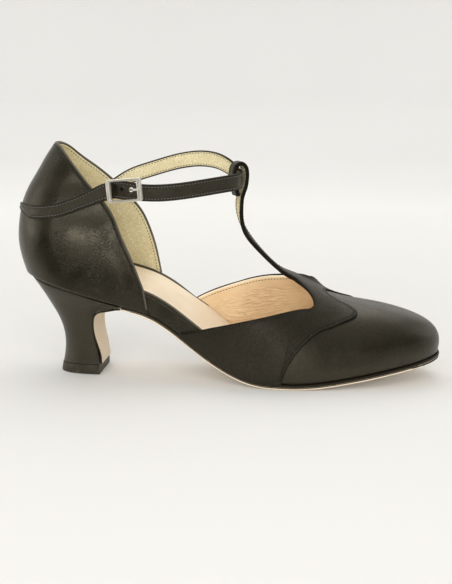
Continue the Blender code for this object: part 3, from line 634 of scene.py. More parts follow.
toe_creases = creases((
    (vamp(203, -1, 0.26), vamp(216, -1, 0.62), 5.0, -0.16),
    (vamp(212, -1, 0.20), vamp(224, -1, 0.55), 4.0, 0.10),
    (vamp(204, 1, 0.30), vamp(214, 1, 0.62), 5.0, -0.14),
    (vamp(190, -1, 0.10), vamp(226, -1, 0.06), 3.5, -0.12)))
vamp_wall = Wall(vamp_blocks + [low_toe, high_toe], (180, 0, 20), toe_creases)
toe_calf = black_calf("toe_calf", *DYE, 0.33)
toe_vamp = vamp_wall.piece("vamp", [toe_calf, tan_lining], 0.3, rim=1)
for face in toe_vamp.data.polygons:
    x, z = shoe_xz(face.center)
    if z < bed(x) + 0.4:
        face.material_index = 0
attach(toe_vamp, "root")
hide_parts("upper")

# Counter
# The high back of the shoe: black calf round the heel from one open side to the other, lined with ivory
# leather. The front edges and the top line are folded over and sewn once through with dark thread.
# Back seam: height, x
BACK = ((57, 4.6), (62.3, 2.9), (70, 0.9), (78, 0.0), (88, 0.8), (97, 2.6), (106, 6.2), (116, 12.2),
        (125, 17.6), (132, 22.6))
# Front and top edges of the counter: x, height
COUNTER_OUT = ((74.6, 51.0), (70.6, 62.0), (67.0, 71.0), (62.4, 81.2), (57.4, 93.0), (52.0, 100.5),
               (45.0, 108.3), (37.0, 118.2), (30.5, 126.2), (25.5, 130.6), (22.8, 131.6))
COUNTER_IN = ((78.4, 54.5), (77.0, 62.0), (75.2, 70.5), (71.8, 81.5), (67.2, 91.5), (60.0, 100.0),
              (50.5, 109.6), (40.0, 118.0), (31.0, 124.8), (25.6, 129.8), (22.8, 131.6))
COUNTER_WALL = 1.9
COUNTER_SEAM = 1.7
COUNTER_UNIT = 40.0
HEEL_CURVE = 26.0
back_x = spline(BACK)


def path(rows):
    """Smooth curve through rows of any width, called with 0 to 1 along its length."""
    s = [0.0]
    for a, b in zip(rows, rows[1:]):
        s.append(s[-1] + math.dist(a, b))
    cols = [spline([(t, r[k]) for t, r in zip(s, rows)]) for k in range(len(rows[0]))]

    def value(t):
        return tuple(f(t * s[-1]) for f in cols)
    return value


def counter(q, side, z):
    """Outer counter surface: q is 0 at the back seam, 1 where the heel curve ends, then 1 per 40 mm."""
    xb = back_x(z)
    if q < 1.0:
        x = xb + HEEL_CURVE * (1.0 - math.cos(q * math.pi / 2) ** (2 / HEEL_POWER))
        b = math.sin(q * math.pi / 2) ** (2 / HEEL_POWER)
    else:
        x = xb + HEEL_CURVE + (q - 1.0) * COUNTER_UNIT
        b = 1.0
    k = 1.0 + (swell(z - bed(x)) - 1.0) * (1.0 - smooth(70.0, 92.0, x))
    return (x, side * body_half(x, side) * k * b, z)


def counter_q(x, z):
    """The counter coordinate of a point seen from the side."""
    d = x - back_x(z)
    if d >= HEEL_CURVE:
        return 1.0 + (d - HEEL_CURVE) / COUNTER_UNIT
    c = min(1.0, max(0.0, 1.0 - d / HEEL_CURVE))
    return math.acos(c ** (HEEL_POWER / 2)) / (math.pi / 2)


def on_counter(x, side, z):
    return counter(counter_q(x, z), side, z)


def stitch_tree():
    """Dashes of thread along edge paths: evenly spaced, laid along the path, standing on its up direction."""
    tree = bpy.data.node_groups.new("sewn_line", 'GeometryNodeTree')
    tree.interface.new_socket("Path", in_out='INPUT', socket_type='NodeSocketGeometry')
    for name in ("Pitch", "Length", "Thickness"):
        tree.interface.new_socket(name, in_out='INPUT', socket_type='NodeSocketFloat')
    tree.interface.new_socket("Thread", in_out='INPUT', socket_type='NodeSocketMaterial')
    tree.interface.new_socket("Stitches", in_out='OUTPUT', socket_type='NodeSocketGeometry')

    def add(kind, settings, links, pick=0):
        made = tree.nodes.new(kind)
        for key, value in settings.items():
            setattr(made, key, value)
        for key, value in links.items():
            if isinstance(value, bpy.types.NodeSocket):
                tree.links.new(value, made.inputs[key])
            else:
                made.inputs[key].default_value = value
        return made.outputs[pick] if made.outputs else made

    given = tree.nodes.new('NodeGroupInput').outputs
    curve = add('GeometryNodeMeshToCurve', {}, {"Mesh": given["Path"]})
    points = add('GeometryNodeResampleCurve', {"mode": 'LENGTH'}, {"Curve": curve, "Length": given["Pitch"]})
    along = add('GeometryNodeInputTangent', {}, {})
    up = add('GeometryNodeInputNamedAttribute', {"data_type": 'FLOAT_VECTOR'}, {"Name": "up"})
    turn = add('FunctionNodeAlignRotationToVector', {"axis": 'X'}, {"Vector": along})
    turn = add('FunctionNodeAlignRotationToVector', {"axis": 'Z', "pivot_axis": 'X'},
               {"Rotation": turn, "Vector": up})
    dash = add('GeometryNodeMeshUVSphere', {}, {"Segments": 8, "Rings": 5, "Radius": 0.5})
    thick = given["Thickness"]
    size = add('ShaderNodeCombineXYZ', {}, {"X": given["Length"], "Y": thick, "Z": thick})
    sewn = add('GeometryNodeInstanceOnPoints', {},
               {"Points": points, "Instance": dash, "Rotation": turn, "Scale": size})
    sewn = add('GeometryNodeRealizeInstances', {}, {"Geometry": sewn})
    sewn = add('GeometryNodeSetShadeSmooth', {}, {"Geometry": sewn})
    sewn = add('GeometryNodeSetMaterial', {}, {"Geometry": sewn, "Material": given["Thread"]})
    out = tree.nodes.new('NodeGroupOutput')
    tree.links.new(sewn, out.inputs["Stitches"])
    return tree


sewn_line = stitch_tree()


def stitches(name, lines, finish, pitch=1.8, length=1.2, thick=0.46):
    """Sewn lines through (point, normal) lists, as one plain mesh."""
    points = []
    ups = []
    edges = []
    for line in lines:
        first = len(points)
        points += [world(p) for p, _ in line]
        ups += [c for _, n in line for c in n]
        edges += [(k, k + 1) for k in range(first, len(points) - 1)]
    mesh = bpy.data.meshes.new(name + "_path")
    mesh.from_pydata(points, edges, [])
    mesh.attributes.new("up", 'FLOAT_VECTOR', 'POINT').data.foreach_set("vector", ups)
    piece = placed(name, mesh)
    sewing = piece.modifiers.new("sewing", 'NODES')
    sewing.node_group = sewn_line
    values = {"Pitch": pitch / 1000, "Length": length / 1000, "Thickness": thick / 1000,
              "Thread": finish.made}
    for item in sewn_line.interface.items_tree:
        if item.in_out == 'INPUT' and item.name in values:
            sewing[item.identifier] = values[item.name]
    sewn = bpy.data.meshes.new_from_object(piece.evaluated_get(bpy.context.evaluated_depsgraph_get()))
    sewn.name = name
    piece.modifiers.clear()
    piece.data = sewn
    return piece


def thread_finish(name, colour, rough):
    """Twisted polyester thread with a dull shine."""
    f = Finish(name, Specular_IOR_Level=0.5)
    twist = f.cloud(2600.0, 1.0)
    tone = f.tint(twist, colour, mix(colour, (0.0, 0.0, 0.0), 0.5))
    f.drive(Base_Color=tone, Roughness=rough + 0.1 * twist, Normal=f.relief(twist, 0.05, 0.6))
    return f


ivory_lining = pale_leather("ivory_lining", (0.90, 0.84, 0.60), (0.50, 0.41, 0.19), 0.55, 0.50, 800.0, 0.5)
black_thread = thread_finish("black_thread", (0.028, 0.025, 0.020), 0.38)
counter_grid = []
for side, edge in ((-1, COUNTER_OUT), (1, COUNTER_IN)):
    top = path(edge)
    front = edge[0][0] + 2.2
    half_grid = []
    for k in steps(0.0, 1.0, 76):
        t = 1.0 - (1.0 - k) ** 1.45
        q0 = counter_q(front, bed(front)) * (1.0 - t)
        z0 = 58.0
        for _ in range(12):
            z0 = bed(counter(q0, side, z0)[0])
        x1, z1 = top(t)
        q1 = counter_q(x1, z1) if t < 0.999 else 0.0
        rows = [counter(q0 + (q1 - q0) * r, side, z0 + (z1 - z0) * r) for r in steps(0, 1, 40)]
        half_grid.append([(*p, -COUNTER_WALL, 0.0) for p in rows])
    counter_grid += half_grid if side < 0 else list(reversed(half_grid))[1:]
counter_creases = creases((
    (on_counter(67.5, -1, 52.0), on_counter(52.5, -1, 89.0), 3.0, -0.12),
    (on_counter(62.0, -1, 52.0), on_counter(46.0, -1, 87.0), 5.0, 0.14),
    (on_counter(12.0, -1, 88.0), on_counter(54.0, -1, 93.0), 4.0, -0.22),
    (on_counter(26.0, -1, 80.0), on_counter(52.0, -1, 82.0), 8.0, 0.24),
    (on_counter(16.0, -1, 104.0), on_counter(40.0, -1, 110.0), 4.0, -0.22),
    (on_counter(70.0, 1, 56.0), on_counter(58.0, 1, 92.0), 4.0, 0.35),
    (on_counter(18.0, 1, 80.0), on_counter(50.0, 1, 88.0), 4.5, -0.25)))
counter_wall = Wall([counter_grid], (45, 0, 90), counter_creases)
counter_piece = counter_wall.piece("counter", [calf, ivory_lining], 0.45)
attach(counter_piece, "root")
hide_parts("upper")
counter_rim = [row[-1] for row in counter_wall.ids[0]]
counter_lines = [counter_wall.seam(counter_rim, COUNTER_SEAM, outside) for outside in (True, False)]
counter_sewing = stitches("counter_stitches", counter_lines, black_thread)
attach(counter_sewing, "root")

# Vamp overlay and T-bar
# A second layer of calf covers the wings of the vamp. Its front edge is a scallop sewn down on the toe
# leather, and its middle runs up the instep as the T-bar, which folds back into a loop for the strap.
# Throat edges up to the T-bar, and the scallop: feather x, rise
FLARE_OUT = ((168.9, 0.612), (169.1, 0.655), (168.2, 0.713), (165.8, 0.779), (162.8, 0.83), (159.6, 0.872),
             (158.0, 0.889))
FLARE_IN = ((168.4, 0.722), (169.0, 0.748), (168.2, 0.778), (165.8, 0.815), (162.8, 0.848), (159.6, 0.876),
            (158.0, 0.889))
SCALLOP = ((151.9, 0.0), (155, 0.08), (161.9, 0.209), (167.2, 0.293), (172.7, 0.375), (178.4, 0.428),
           (185.6, 0.498), (192.1, 0.563), (196.2, 0.640), (196.0, 0.722), (193.0, 0.785), (187.1, 0.830),
           (181.8, 0.88), (179.0, 0.93), (177.6, 1.0))
# T-bar and its loop: x, height, half width
T_BAR = ((158.0, 56.2, 8.7), (150.2, 59.8, 6.2), (143.5, 65.2, 5.6), (137.3, 71.6, 5.3), (131.8, 78.2, 5.2),
         (128.2, 84.5, 5.1), (126.5, 91.5, 5.1), (126.2, 97.5, 5.1), (126.7, 102.0, 5.1), (127.8, 105.4, 5.1),
         (128.6, 108.6, 5.1), (129.0, 112.0, 5.1), (129.0, 115.2, 5.1), (128.2, 118.0, 5.1),
         (126.1, 119.6, 5.1), (123.7, 118.4, 5.1), (122.6, 115.0, 5.1), (122.5, 111.0, 5.1),
         (123.0, 107.6, 5.1), (123.9, 104.6, 5.1), (124.6, 102.2, 5.1))
T_TWIST = math.radians(20.0)
T_AXIS = 126.2
T_LEAN = math.radians(10.0)
OVERLAY_TOP = 1.35
T_BAR_LOW = -0.7
NECK = 0.889


def stationed(rows):
    """Smooth curve in (feather x, rise) through rows of station, x, rise."""
    along = spline(rows, 1)
    up = spline(rows, 2)

    def value(t):
        return (along(t), up(t))
    return value


def turned(x, y, z):
    """Point of the T-bar after its turn towards the outer side, which grows up to the loop."""
    lean = T_LEAN * smooth(56.0, 62.0, z) * (1.0 - smooth(64.0, 82.0, z))
    x -= y * math.sin(lean)
    a = T_TWIST * smooth(76.0, 98.0, z)
    d = x - T_AXIS
    return (T_AXIS + d * math.cos(a) - y * math.sin(a), d * math.sin(a) + y * math.cos(a), z)


scallop = stationed([(0.45 + 0.55 * i / (len(SCALLOP) - 1), *r) for i, r in enumerate(SCALLOP)])
stations = steps(0.0, 0.45, 50) + steps(0.45, 0.56, 14)[1:] + steps(0.56, 0.86, 60)[1:]
last_flare = len(stations) - 1
stations += steps(0.86, 1.0, 12)[1:]
neck_rises = [NECK + (1.0 - NECK) * i / 12 for i in range(13)]
overlay_blocks = []
for side, wing, flare in ((-1, WING_OUT, FLARE_OUT), (1, WING_IN, FLARE_IN)):
    rows = [(0.56 * i / (len(wing) - 1), *r) for i, r in enumerate(wing)]
    rows += [(0.60 + 0.26 * i / (len(flare) - 1), *r) for i, r in enumerate(flare)]
    topline = stationed(rows)
    grid = []
    for t in stations:
        if t <= 0.86:
            a = topline(t)
        else:
            a = (158.0, NECK + (1.0 - NECK) * (t - 0.86) / 0.14)
        if t <= 0.45:
            b = (wing[0][0] + (SCALLOP[0][0] - wing[0][0]) * t / 0.45, 0.0)
        else:
            b = scallop(t)
        row = []
        ends = [vamp(c[0], side, max(0.0, c[1])) for c in (a, b)]
        reach = math.dist(*ends)
        for r in steps(0.0, 1.0, 28):
            x, v = mix(a, b, r)
            p = vamp(x, side, min(1.0, max(0.0, v)))
            on_bar = (1.0 - smooth(158.0, 167.0, p[0])) * smooth(0.62, 0.72, v)
            skived = 0.45 * (1.0 - smooth(0.0, 22.0, (1.0 - r) * reach)) * smooth(0.44, 0.47, t)
            row.append((*p, 0.06 + (T_BAR_LOW - 0.06) * on_bar, OVERLAY_TOP - skived))
        grid.append(row)
    overlay_blocks.append(grid)
bar = path(T_BAR)
neck = [vamp(158.0, -1, v) for v in neck_rises] + [vamp(158.0, 1, v) for v in reversed(neck_rises[:-1])]
neck_half = abs(neck[0][1])
bar_grid = [[(*p, T_BAR_LOW, OVERLAY_TOP) for p in neck]]
for t in steps(0.0, 1.0, 140)[1:]:
    x, z, w = bar(t)
    x2, z2, _ = bar(min(1.0, t + 0.004))
    x1, z1, _ = bar(t - 0.004)
    d = math.hypot(x2 - x1, z2 - z1)
    row = []
    for p in neck:
        y = p[1] / neck_half * w
        drop = 0.5 * (y / w) ** 2 * (1.0 - smooth(0.5, 0.7, t))
        seat = 0.16 * math.exp(-((w - abs(y) - 1.3) / 0.45) ** 2)
        p = turned(x - (z2 - z1) / d * drop, y, z + (x2 - x1) / d * drop)
        row.append((*p, T_BAR_LOW, OVERLAY_TOP - seat))
    bar_grid.append(row)
ball_creases = creases((
    (vamp(140, -1, 0.10), vamp(168, -1, 0.42), 4.5, -0.14),
    (vamp(150, -1, 0.08), vamp(172, -1, 0.34), 4.0, 0.10),
    (vamp(128, -1, 0.06), vamp(158, -1, 0.40), 4.5, 0.10),
    (vamp(112, -1, 0.03), vamp(146, -1, 0.27), 3.5, -0.10),
    (vamp(172, -1, 0.50), vamp(186, -1, 0.62), 4.0, -0.22),
    (vamp(134, 1, 0.14), vamp(160, 1, 0.50), 4.5, -0.28),
    (vamp(146, 1, 0.12), vamp(168, 1, 0.46), 4.0, 0.20)))


def overlay_relief(p):
    return ball_creases(p) * (1.0 - smooth(0.0, 6.0, p.x - 186.0)) + toe_creases(p)


overlay_wall = Wall(overlay_blocks + [bar_grid], (150, 0, 20), overlay_relief)
# Its rims take a near-black tone: a painted shadow line along the scallop and throat edges.
overlay_calf = black_calf("overlay_calf", *DYE, 0.42, painted_rim_tone=(0.0015, 0.0012, 0.0008), band=0.9, gloss=0.46)
overlay_piece = overlay_wall.piece("vamp_overlay_leather", [overlay_calf, ivory_lining], 0.25)
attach(overlay_piece, "root")
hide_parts("vamp_overlay")
overlay_lines = []
for block, end in ((0, 0), (1, -1)):
    rows = overlay_wall.ids[block]
    edge = [row[0] for row in rows[2:last_flare]] + [row[end] for row in overlay_wall.ids[2][2:-1]]
    overlay_lines.append(overlay_wall.seam(edge, 1.5))
    overlay_lines.append(overlay_wall.seam(edge[last_flare:], 1.5, False))
    overlay_lines.append(overlay_wall.seam([row[-1] for row in rows[52:]], 1.3))
overlay_sewing = stitches("vamp_overlay_stitches", overlay_lines, black_thread)
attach(overlay_sewing, "root")
lining_lines = []
for block in (0, 1):
    lining_lines.append(vamp_wall.seam([row[-1] for row in vamp_wall.ids[block][6:]], 1.6, False))
lining_sewing = stitches("vamp_lining_stitches", lining_lines, black_thread)
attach(lining_sewing, "root")

# Ankle strap and buckle strap
# Both straps are folded calf over an ivory lining, sewn close to each edge. The long one starts on the
# inner counter, passes the T-bar loop and ends behind the buckle; the short one is sewn to the outer
# counter and carries the buckle.
# Free part of the long strap: x, y, height
STRAP_PATH = ((58, 22.6, 109.4), (72, 24.2, 114.6), (88, 23.8, 119.2), (102, 20.4, 121.2),
              (111.4, 15.8, 120.4), (118.7, 10.4, 117.6), (123.9, 4.9, 114.0), (125.7, 0.2, 112.4),
              (127.3, -5.0, 111.0), (125.5, -9.4, 110.2), (119.4, -13.4, 109.2), (110.7, -17.0, 107.9),
              (101, -20.4, 106.5), (90.4, -23.0, 105.3), (80, -23.9, 104.9), (72.8, -23.7, 105.3),
              (66.8, -23.2, 106.0), (62.0, -20.2, 106.2), (58.4, -17.3, 106.0), (55.2, -15.8, 105.6))
# Strap end on the counter: x, lower edge, upper edge, thickness
STRAP_SEAT = ((3.7, 95.0, 97.5, 0.8), (6, 93.6, 97.5, 0.8), (9, 91.7, 97.3, 0.85), (11.6, 90.5, 97.2, 0.9),
              (18, 90.4, 97.2, 1.1), (27, 91.2, 98.4, 1.5), (36, 93.9, 101.2, 1.8), (45, 97.2, 105.2, 1.8),
              (53, 100.0, 109.0, 1.8), (58, 101.1, 110.0, 1.8))
STRAP_HALF = 4.3
STRAP_FULL = 0.6
STRAP = 1.8
STRAP_SEAM = 1.1
STRAP_STITCH = (1.7, 1.15, 0.4)
GAP = 0.3


def strap_point(x, side, z, thick):
    """Middle of a strap that lies on the counter, seen at (x, z) from the side, with its half thickness."""
    q = counter_q(x, z)
    a = Vector(counter(q + 0.01, side, z)) - Vector(counter(max(0.0, q - 0.01), side, z))
    b = Vector(counter(q, side, z + 0.3)) - Vector(counter(q, side, z - 0.3))
    n = a.cross(b).normalized()
    if n.y * side < 0:
        n = -n
    return (*(Vector(counter(q, side, z)) + n * (GAP + thick / 2)), thick / 2)


def strap_wall(low_rows, high_rows, n, inside):
    """Folded strap between two edge curves: a groove along both stitch lines, a soft crown between them."""
    low = path(low_rows)
    high = path(high_rows)
    grid = []
    for t in steps(0.0, 1.0, n):
        a = low(t)
        b = high(t)
        wide = math.dist(a, b)
        row = []
        for r in steps(0.0, 1.0, 20):
            x, y, z, thick = mix(a, b, r)
            d = min(r, 1.0 - r) * wide
            groove = 0.20 * math.exp(-((d - STRAP_SEAM) / 0.4) ** 2)
            crown = 0.16 * smooth(1.2, 3.2, d)
            row.append((x, y, z, -thick, thick + crown - groove))
        grid.append(row)
    return Wall([grid], inside)


def strap_lines(wall, sides):
    rows = wall.ids[0]
    edges = ([row[0] for row in rows[3:-3]], [row[-1] for row in rows[3:-3]])
    return [wall.seam(edge, STRAP_SEAM, outside) for edge in edges for outside in sides]


strap_calf = black_calf("strap_calf", (0.008, 0.0064, 0.0034), (0.014, 0.0118, 0.0072), 0.30, 950.0, 0.34,
                        STRAP_SEAM, painted_rim_tone=(0.003, 0.0025, 0.0015), band=0.7, gloss=0.85)
grey_thread = thread_finish("grey_thread", (0.30, 0.29, 0.26), 0.42)
low_edge = [strap_point(x, 1, z0, thick) for x, z0, z1, thick in STRAP_SEAT[:-2]]
high_edge = [strap_point(x, 1, z1, thick) for x, z0, z1, thick in STRAP_SEAT[:-2]]
for x, y, z in STRAP_PATH:
    wide = STRAP_HALF + (STRAP_FULL * math.exp(-((x - 64.5) / 6.0) ** 2) if y < 0 else 0.0)
    low_edge.append((x, y, z - wide, STRAP / 2))
    high_edge.append((x, y, z + wide, STRAP / 2))
ankle_wall = strap_wall(low_edge, high_edge, 260, (90, 0, 110))
ankle_piece = ankle_wall.piece("ankle_strap_leather", [strap_calf, ivory_lining], 0.35)

BUCKLE_AT = Vector((65.4, -25.0, 106.3))
BUCKLE_YAW = math.radians(-8.0)
BUCKLE_ROLL = math.radians(-5.6)


def buckle_point(u, w, d):
    """Buckle coordinates: u along the strap, w up, d outward."""
    a = u * math.cos(BUCKLE_ROLL) + w * math.sin(BUCKLE_ROLL)
    c = -u * math.sin(BUCKLE_ROLL) + w * math.cos(BUCKLE_ROLL)
    east = a * math.cos(BUCKLE_YAW) + d * math.sin(BUCKLE_YAW)
    return BUCKLE_AT + Vector((east, a * math.sin(BUCKLE_YAW) - d * math.cos(BUCKLE_YAW), c))


spare, spare_way, _, _ = ankle_wall.tree.find_nearest(buckle_point(-1.6, 0.6, -3.0))
spare_way = spare_way if spare_way.y < 0 else -spare_way
HOLES = ((buckle_point(2.0, 0, -4.9), buckle_point(4.8, 0, 1.3), 1.3),
         (spare - spare_way * 0.4, spare + spare_way * 3.0, 1.1))
for a, b, radius in HOLES:
    a = Vector(world(a))
    b = Vector(world(b))
    bm = bmesh.new()
    bmesh.ops.create_cone(bm, cap_ends=True, segments=28, radius1=radius / 1000, radius2=radius / 1000,
                          depth=(b - a).length)
    bmesh.ops.rotate(bm, verts=bm.verts[:], matrix=(b - a).to_track_quat('Z', 'Y').to_matrix())
    bmesh.ops.translate(bm, verts=bm.verts[:], vec=(a + b) / 2)
    punch_mesh = bpy.data.meshes.new("punch")
    bm.to_mesh(punch_mesh)
    bm.free()
    punch_mesh.materials.append(strap_calf.made)
    punch = placed("punch", punch_mesh)
    hole = ankle_piece.modifiers.new("hole", 'BOOLEAN')
    hole.object = punch
    hole.solver = 'EXACT'
    bpy.context.view_layer.update()
    cut = bpy.data.meshes.new_from_object(ankle_piece.evaluated_get(bpy.context.evaluated_depsgraph_get()))
    ankle_piece.modifiers.clear()
    ankle_piece.data = cut
    bpy.data.objects.remove(punch, do_unlink=True)
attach(ankle_piece, "root")
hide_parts("ankle_strap")
ankle_sewing = stitches("ankle_strap_stitches", strap_lines(ankle_wall, (True,)), grey_thread, *STRAP_STITCH)
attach(ankle_sewing, "root")
lining_stitches = stitches("ankle_strap_lining_stitches", strap_lines(ankle_wall, (False,)), black_thread)
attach(lining_stitches, "root")

seat_low = [strap_point(x, -1, z0, thick) for x, z0, z1, thick in STRAP_SEAT]
seat_high = [strap_point(x, -1, z1, thick) for x, z0, z1, thick in STRAP_SEAT]
seat_wall = strap_wall(seat_low, seat_high, 90, (40, 0, 100))
seat_piece = seat_wall.piece("buckle_strap_leather", [strap_calf], 0.35)
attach(seat_piece, "root")
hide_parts("buckle_strap")
seat_sewing = stitches("buckle_strap_stitches", strap_lines(seat_wall, (True,)), grey_thread, *STRAP_STITCH)
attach(seat_sewing, "root")

# Buckle
# A small cast frame, nickel plated, with a raised rib round its outside and a second one round the
# window. The flat prong comes up through the strap and lies on the front bar.
FRAME_LONG = 20.4
FRAME_HIGH = 12.8
END_BAR = 2.8
SIDE_BAR = 1.35
# Section of the frame: share of the bar from outside in, height
FRAME_PROFILE = ((0.0, 0.0), (0.0, 0.75), (0.06, 1.15), (0.16, 1.45), (0.30, 1.52), (0.40, 1.38),
                 (0.46, 1.08), (0.56, 1.05), (0.64, 1.42), (0.76, 1.66), (0.88, 1.62), (0.97, 1.25),
                 (1.0, 0.8), (1.0, 0.0))
# Middle of the prong: along, up, out
PRONG = ((-6.0, 0.0, -7.4), (-1.5, 0.0, -4.9), (1.6, 0.0, -3.9), (3.4, 0.0, -1.8), (5.0, 0.0, 0.9),
         (6.6, 0.0, 2.45), (9.8, 0.0, 2.55))


def nickel_plate(name):
    """Satin nickel with a warm tone, a few dull clouds and soft brush lines."""
    f = Finish(name, Metallic=0.8, Specular_IOR_Level=0.5)
    brush = f.cloud(1.0, 2.0, 0.5, f.stretched((200.0, 200.0, 1500.0)))
    dull = f.ramp(f.cloud(130.0, 2.0), (0.38, 0.0), (0.66, 1.0))
    tone = f.tint(dull, (0.86, 0.83, 0.75), (0.74, 0.71, 0.63))
    f.drive(Base_Color=tone, Roughness=0.32 + 0.08 * dull + 0.05 * brush, Normal=f.relief(brush, 0.002, 0.3))
    return f


nickel = nickel_plate("nickel_plate")
frame_rings = []
for f, d in FRAME_PROFILE:
    corner = 1.6 - 0.8 * f
    long = FRAME_LONG / 2 - END_BAR * f - corner
    high = FRAME_HIGH / 2 - SIDE_BAR * f - corner
    ring = []
    for k, (sx, sy) in enumerate(((1, 1), (-1, 1), (-1, -1), (1, -1))):
        for i in range(13):
            a = math.pi / 2 * (k + i / 12)
            ring.append(buckle_point(sx * long + corner * math.cos(a), sy * high + corner * math.sin(a), d))
    frame_rings.append(ring)
buckle = loft("buckle_frame_plated", frame_rings, nickel, 50.0, True)
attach(buckle, "root")
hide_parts("buckle_frame")
prong_way = path(PRONG)
prong_rings = []
for t in steps(0.0, 1.0, 44):
    at = prong_way(t)
    back = prong_way(max(0.0, t - 0.01))
    ahead_of = prong_way(min(1.0, t + 0.01))
    slope = math.atan2(ahead_of[2] - back[2], ahead_of[0] - back[0])
    end = math.sqrt(max(0.0, 1.0 - max(0.0, (t - 0.93) / 0.07) ** 2)) if t < 1.0 else 0.15
    ring = []
    for k in range(16):
        a = 2 * math.pi * k / 16
        lift = 0.52 * end * math.sin(a)
        across = (0.78 - 0.22 * t) * max(0.25, end) * math.cos(a)
        along = at[0] - lift * math.sin(slope)
        ring.append(buckle_point(along, at[1] + across, at[2] + lift * math.cos(slope)))
    prong_rings.append(ring)
prong = loft("buckle_prong_plated", prong_rings, nickel)
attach(prong, "root")
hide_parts("buckle_prong")

# Heel
# A flared heel block of moulded plastic wrapped in smooth black calf, which is drawn round the back and
# tucked in under the seat and along the breast.
# Rings of the heel from the floor up, as heel_ring takes them
HEEL = ((47.2, 5.7, 23.8, 5.7, 13.8, 14.4), (46.2, 13, 24.9, 13, 13.3, 13.9),
        (44.4, 20, 24.9, 20.5, 13.3, 13.6), (43.4, 26.5, 23.4, 27.5, 14.0, 14.0),
        (43.6, 31.5, 20.9, 33.6, 15.4, 14.8),
        (44.6, 35.0, 17.9, 39.0, 17.2, 15.8), (47.2, 37.4, 14.5, 44.7, 19.2, 17.4),
        (52.0, 38.6, 10.9, 50.3, 21.4, 19.2), (57.0, 39.7, 7.8, 54.8, 23.0, 21.2))


def heel_ring(bx, bz, kx, kz, w, wb, n=72):
    """Outline of the heel from breast x and z, back x and z, half width and half width at the breast."""
    points = []
    for i in range(n + 1):
        a = -math.pi / 2 + math.pi * i / n
        c = abs(math.cos(a)) ** (2 / 2.5)
        s = math.copysign(abs(math.sin(a)) ** (2 / 2.5), math.sin(a))
        points.append((bx - (bx - kx) * c, s * (wb + (w - wb) * c ** 0.5), bz + (kz - bz) * c))
    for r in steps(0, 1, 14)[1:-1]:
        points.append((bx, wb - 2 * wb * r, bz))
    return points


# The heel's calf takes lighter tones than the rest of the shoe: a painted reflection of the bright floor on
# its concave sides.
heel_calf = black_calf("heel_calf", (0.009, 0.0074, 0.0042), (0.014, 0.0118, 0.0075), 0.32, 1300.0, 0.03)
heel_way = path(HEEL)
heel_rings = [heel_ring(*heel_way(t)) for t in steps(0.0, 1.0, 66)]
seat_ring = []
for x, y, _ in heel_ring(61.6, 0, HEEL_END + 1.2, 0, 23.6, 22.6):
    side = -1 if y < 0 else 1
    seat_ring.append((x, side * min(abs(y), max(0.0, half(x, side) - 0.5)), bed(x) - GAP))
heel_middle = (32.0, 0.0, 50.0)
for t in steps(0.0, 1.0, 12)[1:]:
    tuck = 0.07 * smooth(0.5, 1.0, t) ** 2
    ring = [mix(a, b, t) for a, b in zip(heel_rings[66], seat_ring)]
    heel_rings.append([mix(p, (*heel_middle[:2], p[2]), tuck) for p in ring])
heel = loft("heel_covered", heel_rings, heel_calf)
mark(heel, "from_edge", [NO_EDGE] * len(heel.data.vertices))
# The heel marks a band along its top, under the counter's edge, for a painted shadow there.
joint = []
for v in heel.data.vertices:
    x, z = shoe_xz(v.co)
    reach = 1.2 + 1.6 * (1.0 - smooth(14.0, 42.0, x))
    joint.append(1.0 - smooth(reach, reach + 0.6, bed(x) - z))
mark(heel, "joint", joint)
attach(heel, "root")
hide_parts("heel")

# Top piece
# The wearing face of the heel: a block of hard black rubber. It is pinned on under the heel and ground
# flush with the leather all round.


def ground_rubber(name):
    """Hard rubber with a ground face: fine pits and a dull, slightly dusty black."""
    f = Finish(name, Specular_IOR_Level=0.6, Specular_Tint=WARM)
    dust = f.ramp(f.cloud(320.0, 4.0), (0.45, 0.0), (0.70, 1.0))
    pits = f.cloud(3000.0, 2.0)
    tone = f.tint(dust, (0.016, 0.0135, 0.009), (0.034, 0.030, 0.022))
    f.drive(Base_Color=tone, Roughness=0.45 + 0.2 * pits, Normal=f.relief(pits, 0.06, 0.5))
    return f


rubber = ground_rubber("top_rubber")
TOP_ROWS = ((46.9, 0.0, 23.0, 0.0, 13.9, 14.4), (47.2, 0.12, 22.7, 0.12, 14.2, 14.7),
            (47.3, 0.45, 22.6, 0.45, 14.3, 14.8), (47.3, 4.55, 23.3, 4.55, 14.1, 14.6),
            (47.25, 5.1, 23.45, 5.1, 14.0, 14.5), (47.0, 5.4, 23.8, 5.4, 13.7, 14.3))
top_piece = loft("top_piece_rubber", [heel_ring(*row) for row in TOP_ROWS], rubber)
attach(top_piece, "root")
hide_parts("top_piece")

# Soles
# A thin board with a black dyed edge lies under the shoe, and a layer of chrome suede is glued below it.
# The suede keeps a pale cut edge and runs on down the breast of the heel.
MIDSOLE = 1.3
OUTSOLE = 1.1


def waist_tuck(x):
    """How far the sole edge stands out (+) or in (-) from the feather line."""
    return -0.3 - 1.0 * (1.0 - smooth(104.0, 132.0, x))


def under(x, d):
    """Height of a layer that lies d below the gap under the feather line, square to its slope."""
    return bed(x) - GAP - d * math.hypot(1.0, bed(x + 0.5) - bed(x - 0.5))


def sole_rows(start, d, grow, thick):
    """Rows across the sole from start to the toe, d below the feather line."""
    front = TOE_END + grow(TOE_END)
    xs = steps(start, 196.0, 120) + [196.0 + (front - 196.0) * math.sin(a) for a in steps(0.0, 1.566, 44)][1:]
    rows = []
    for x in xs:
        a = -half(x, -1, grow(x))
        b = half(x, 1, grow(x))
        rows.append([(x, a + (b - a) * r, under(x, d), -thick, 0.0) for r in steps(0, 1, 16)])
    return rows


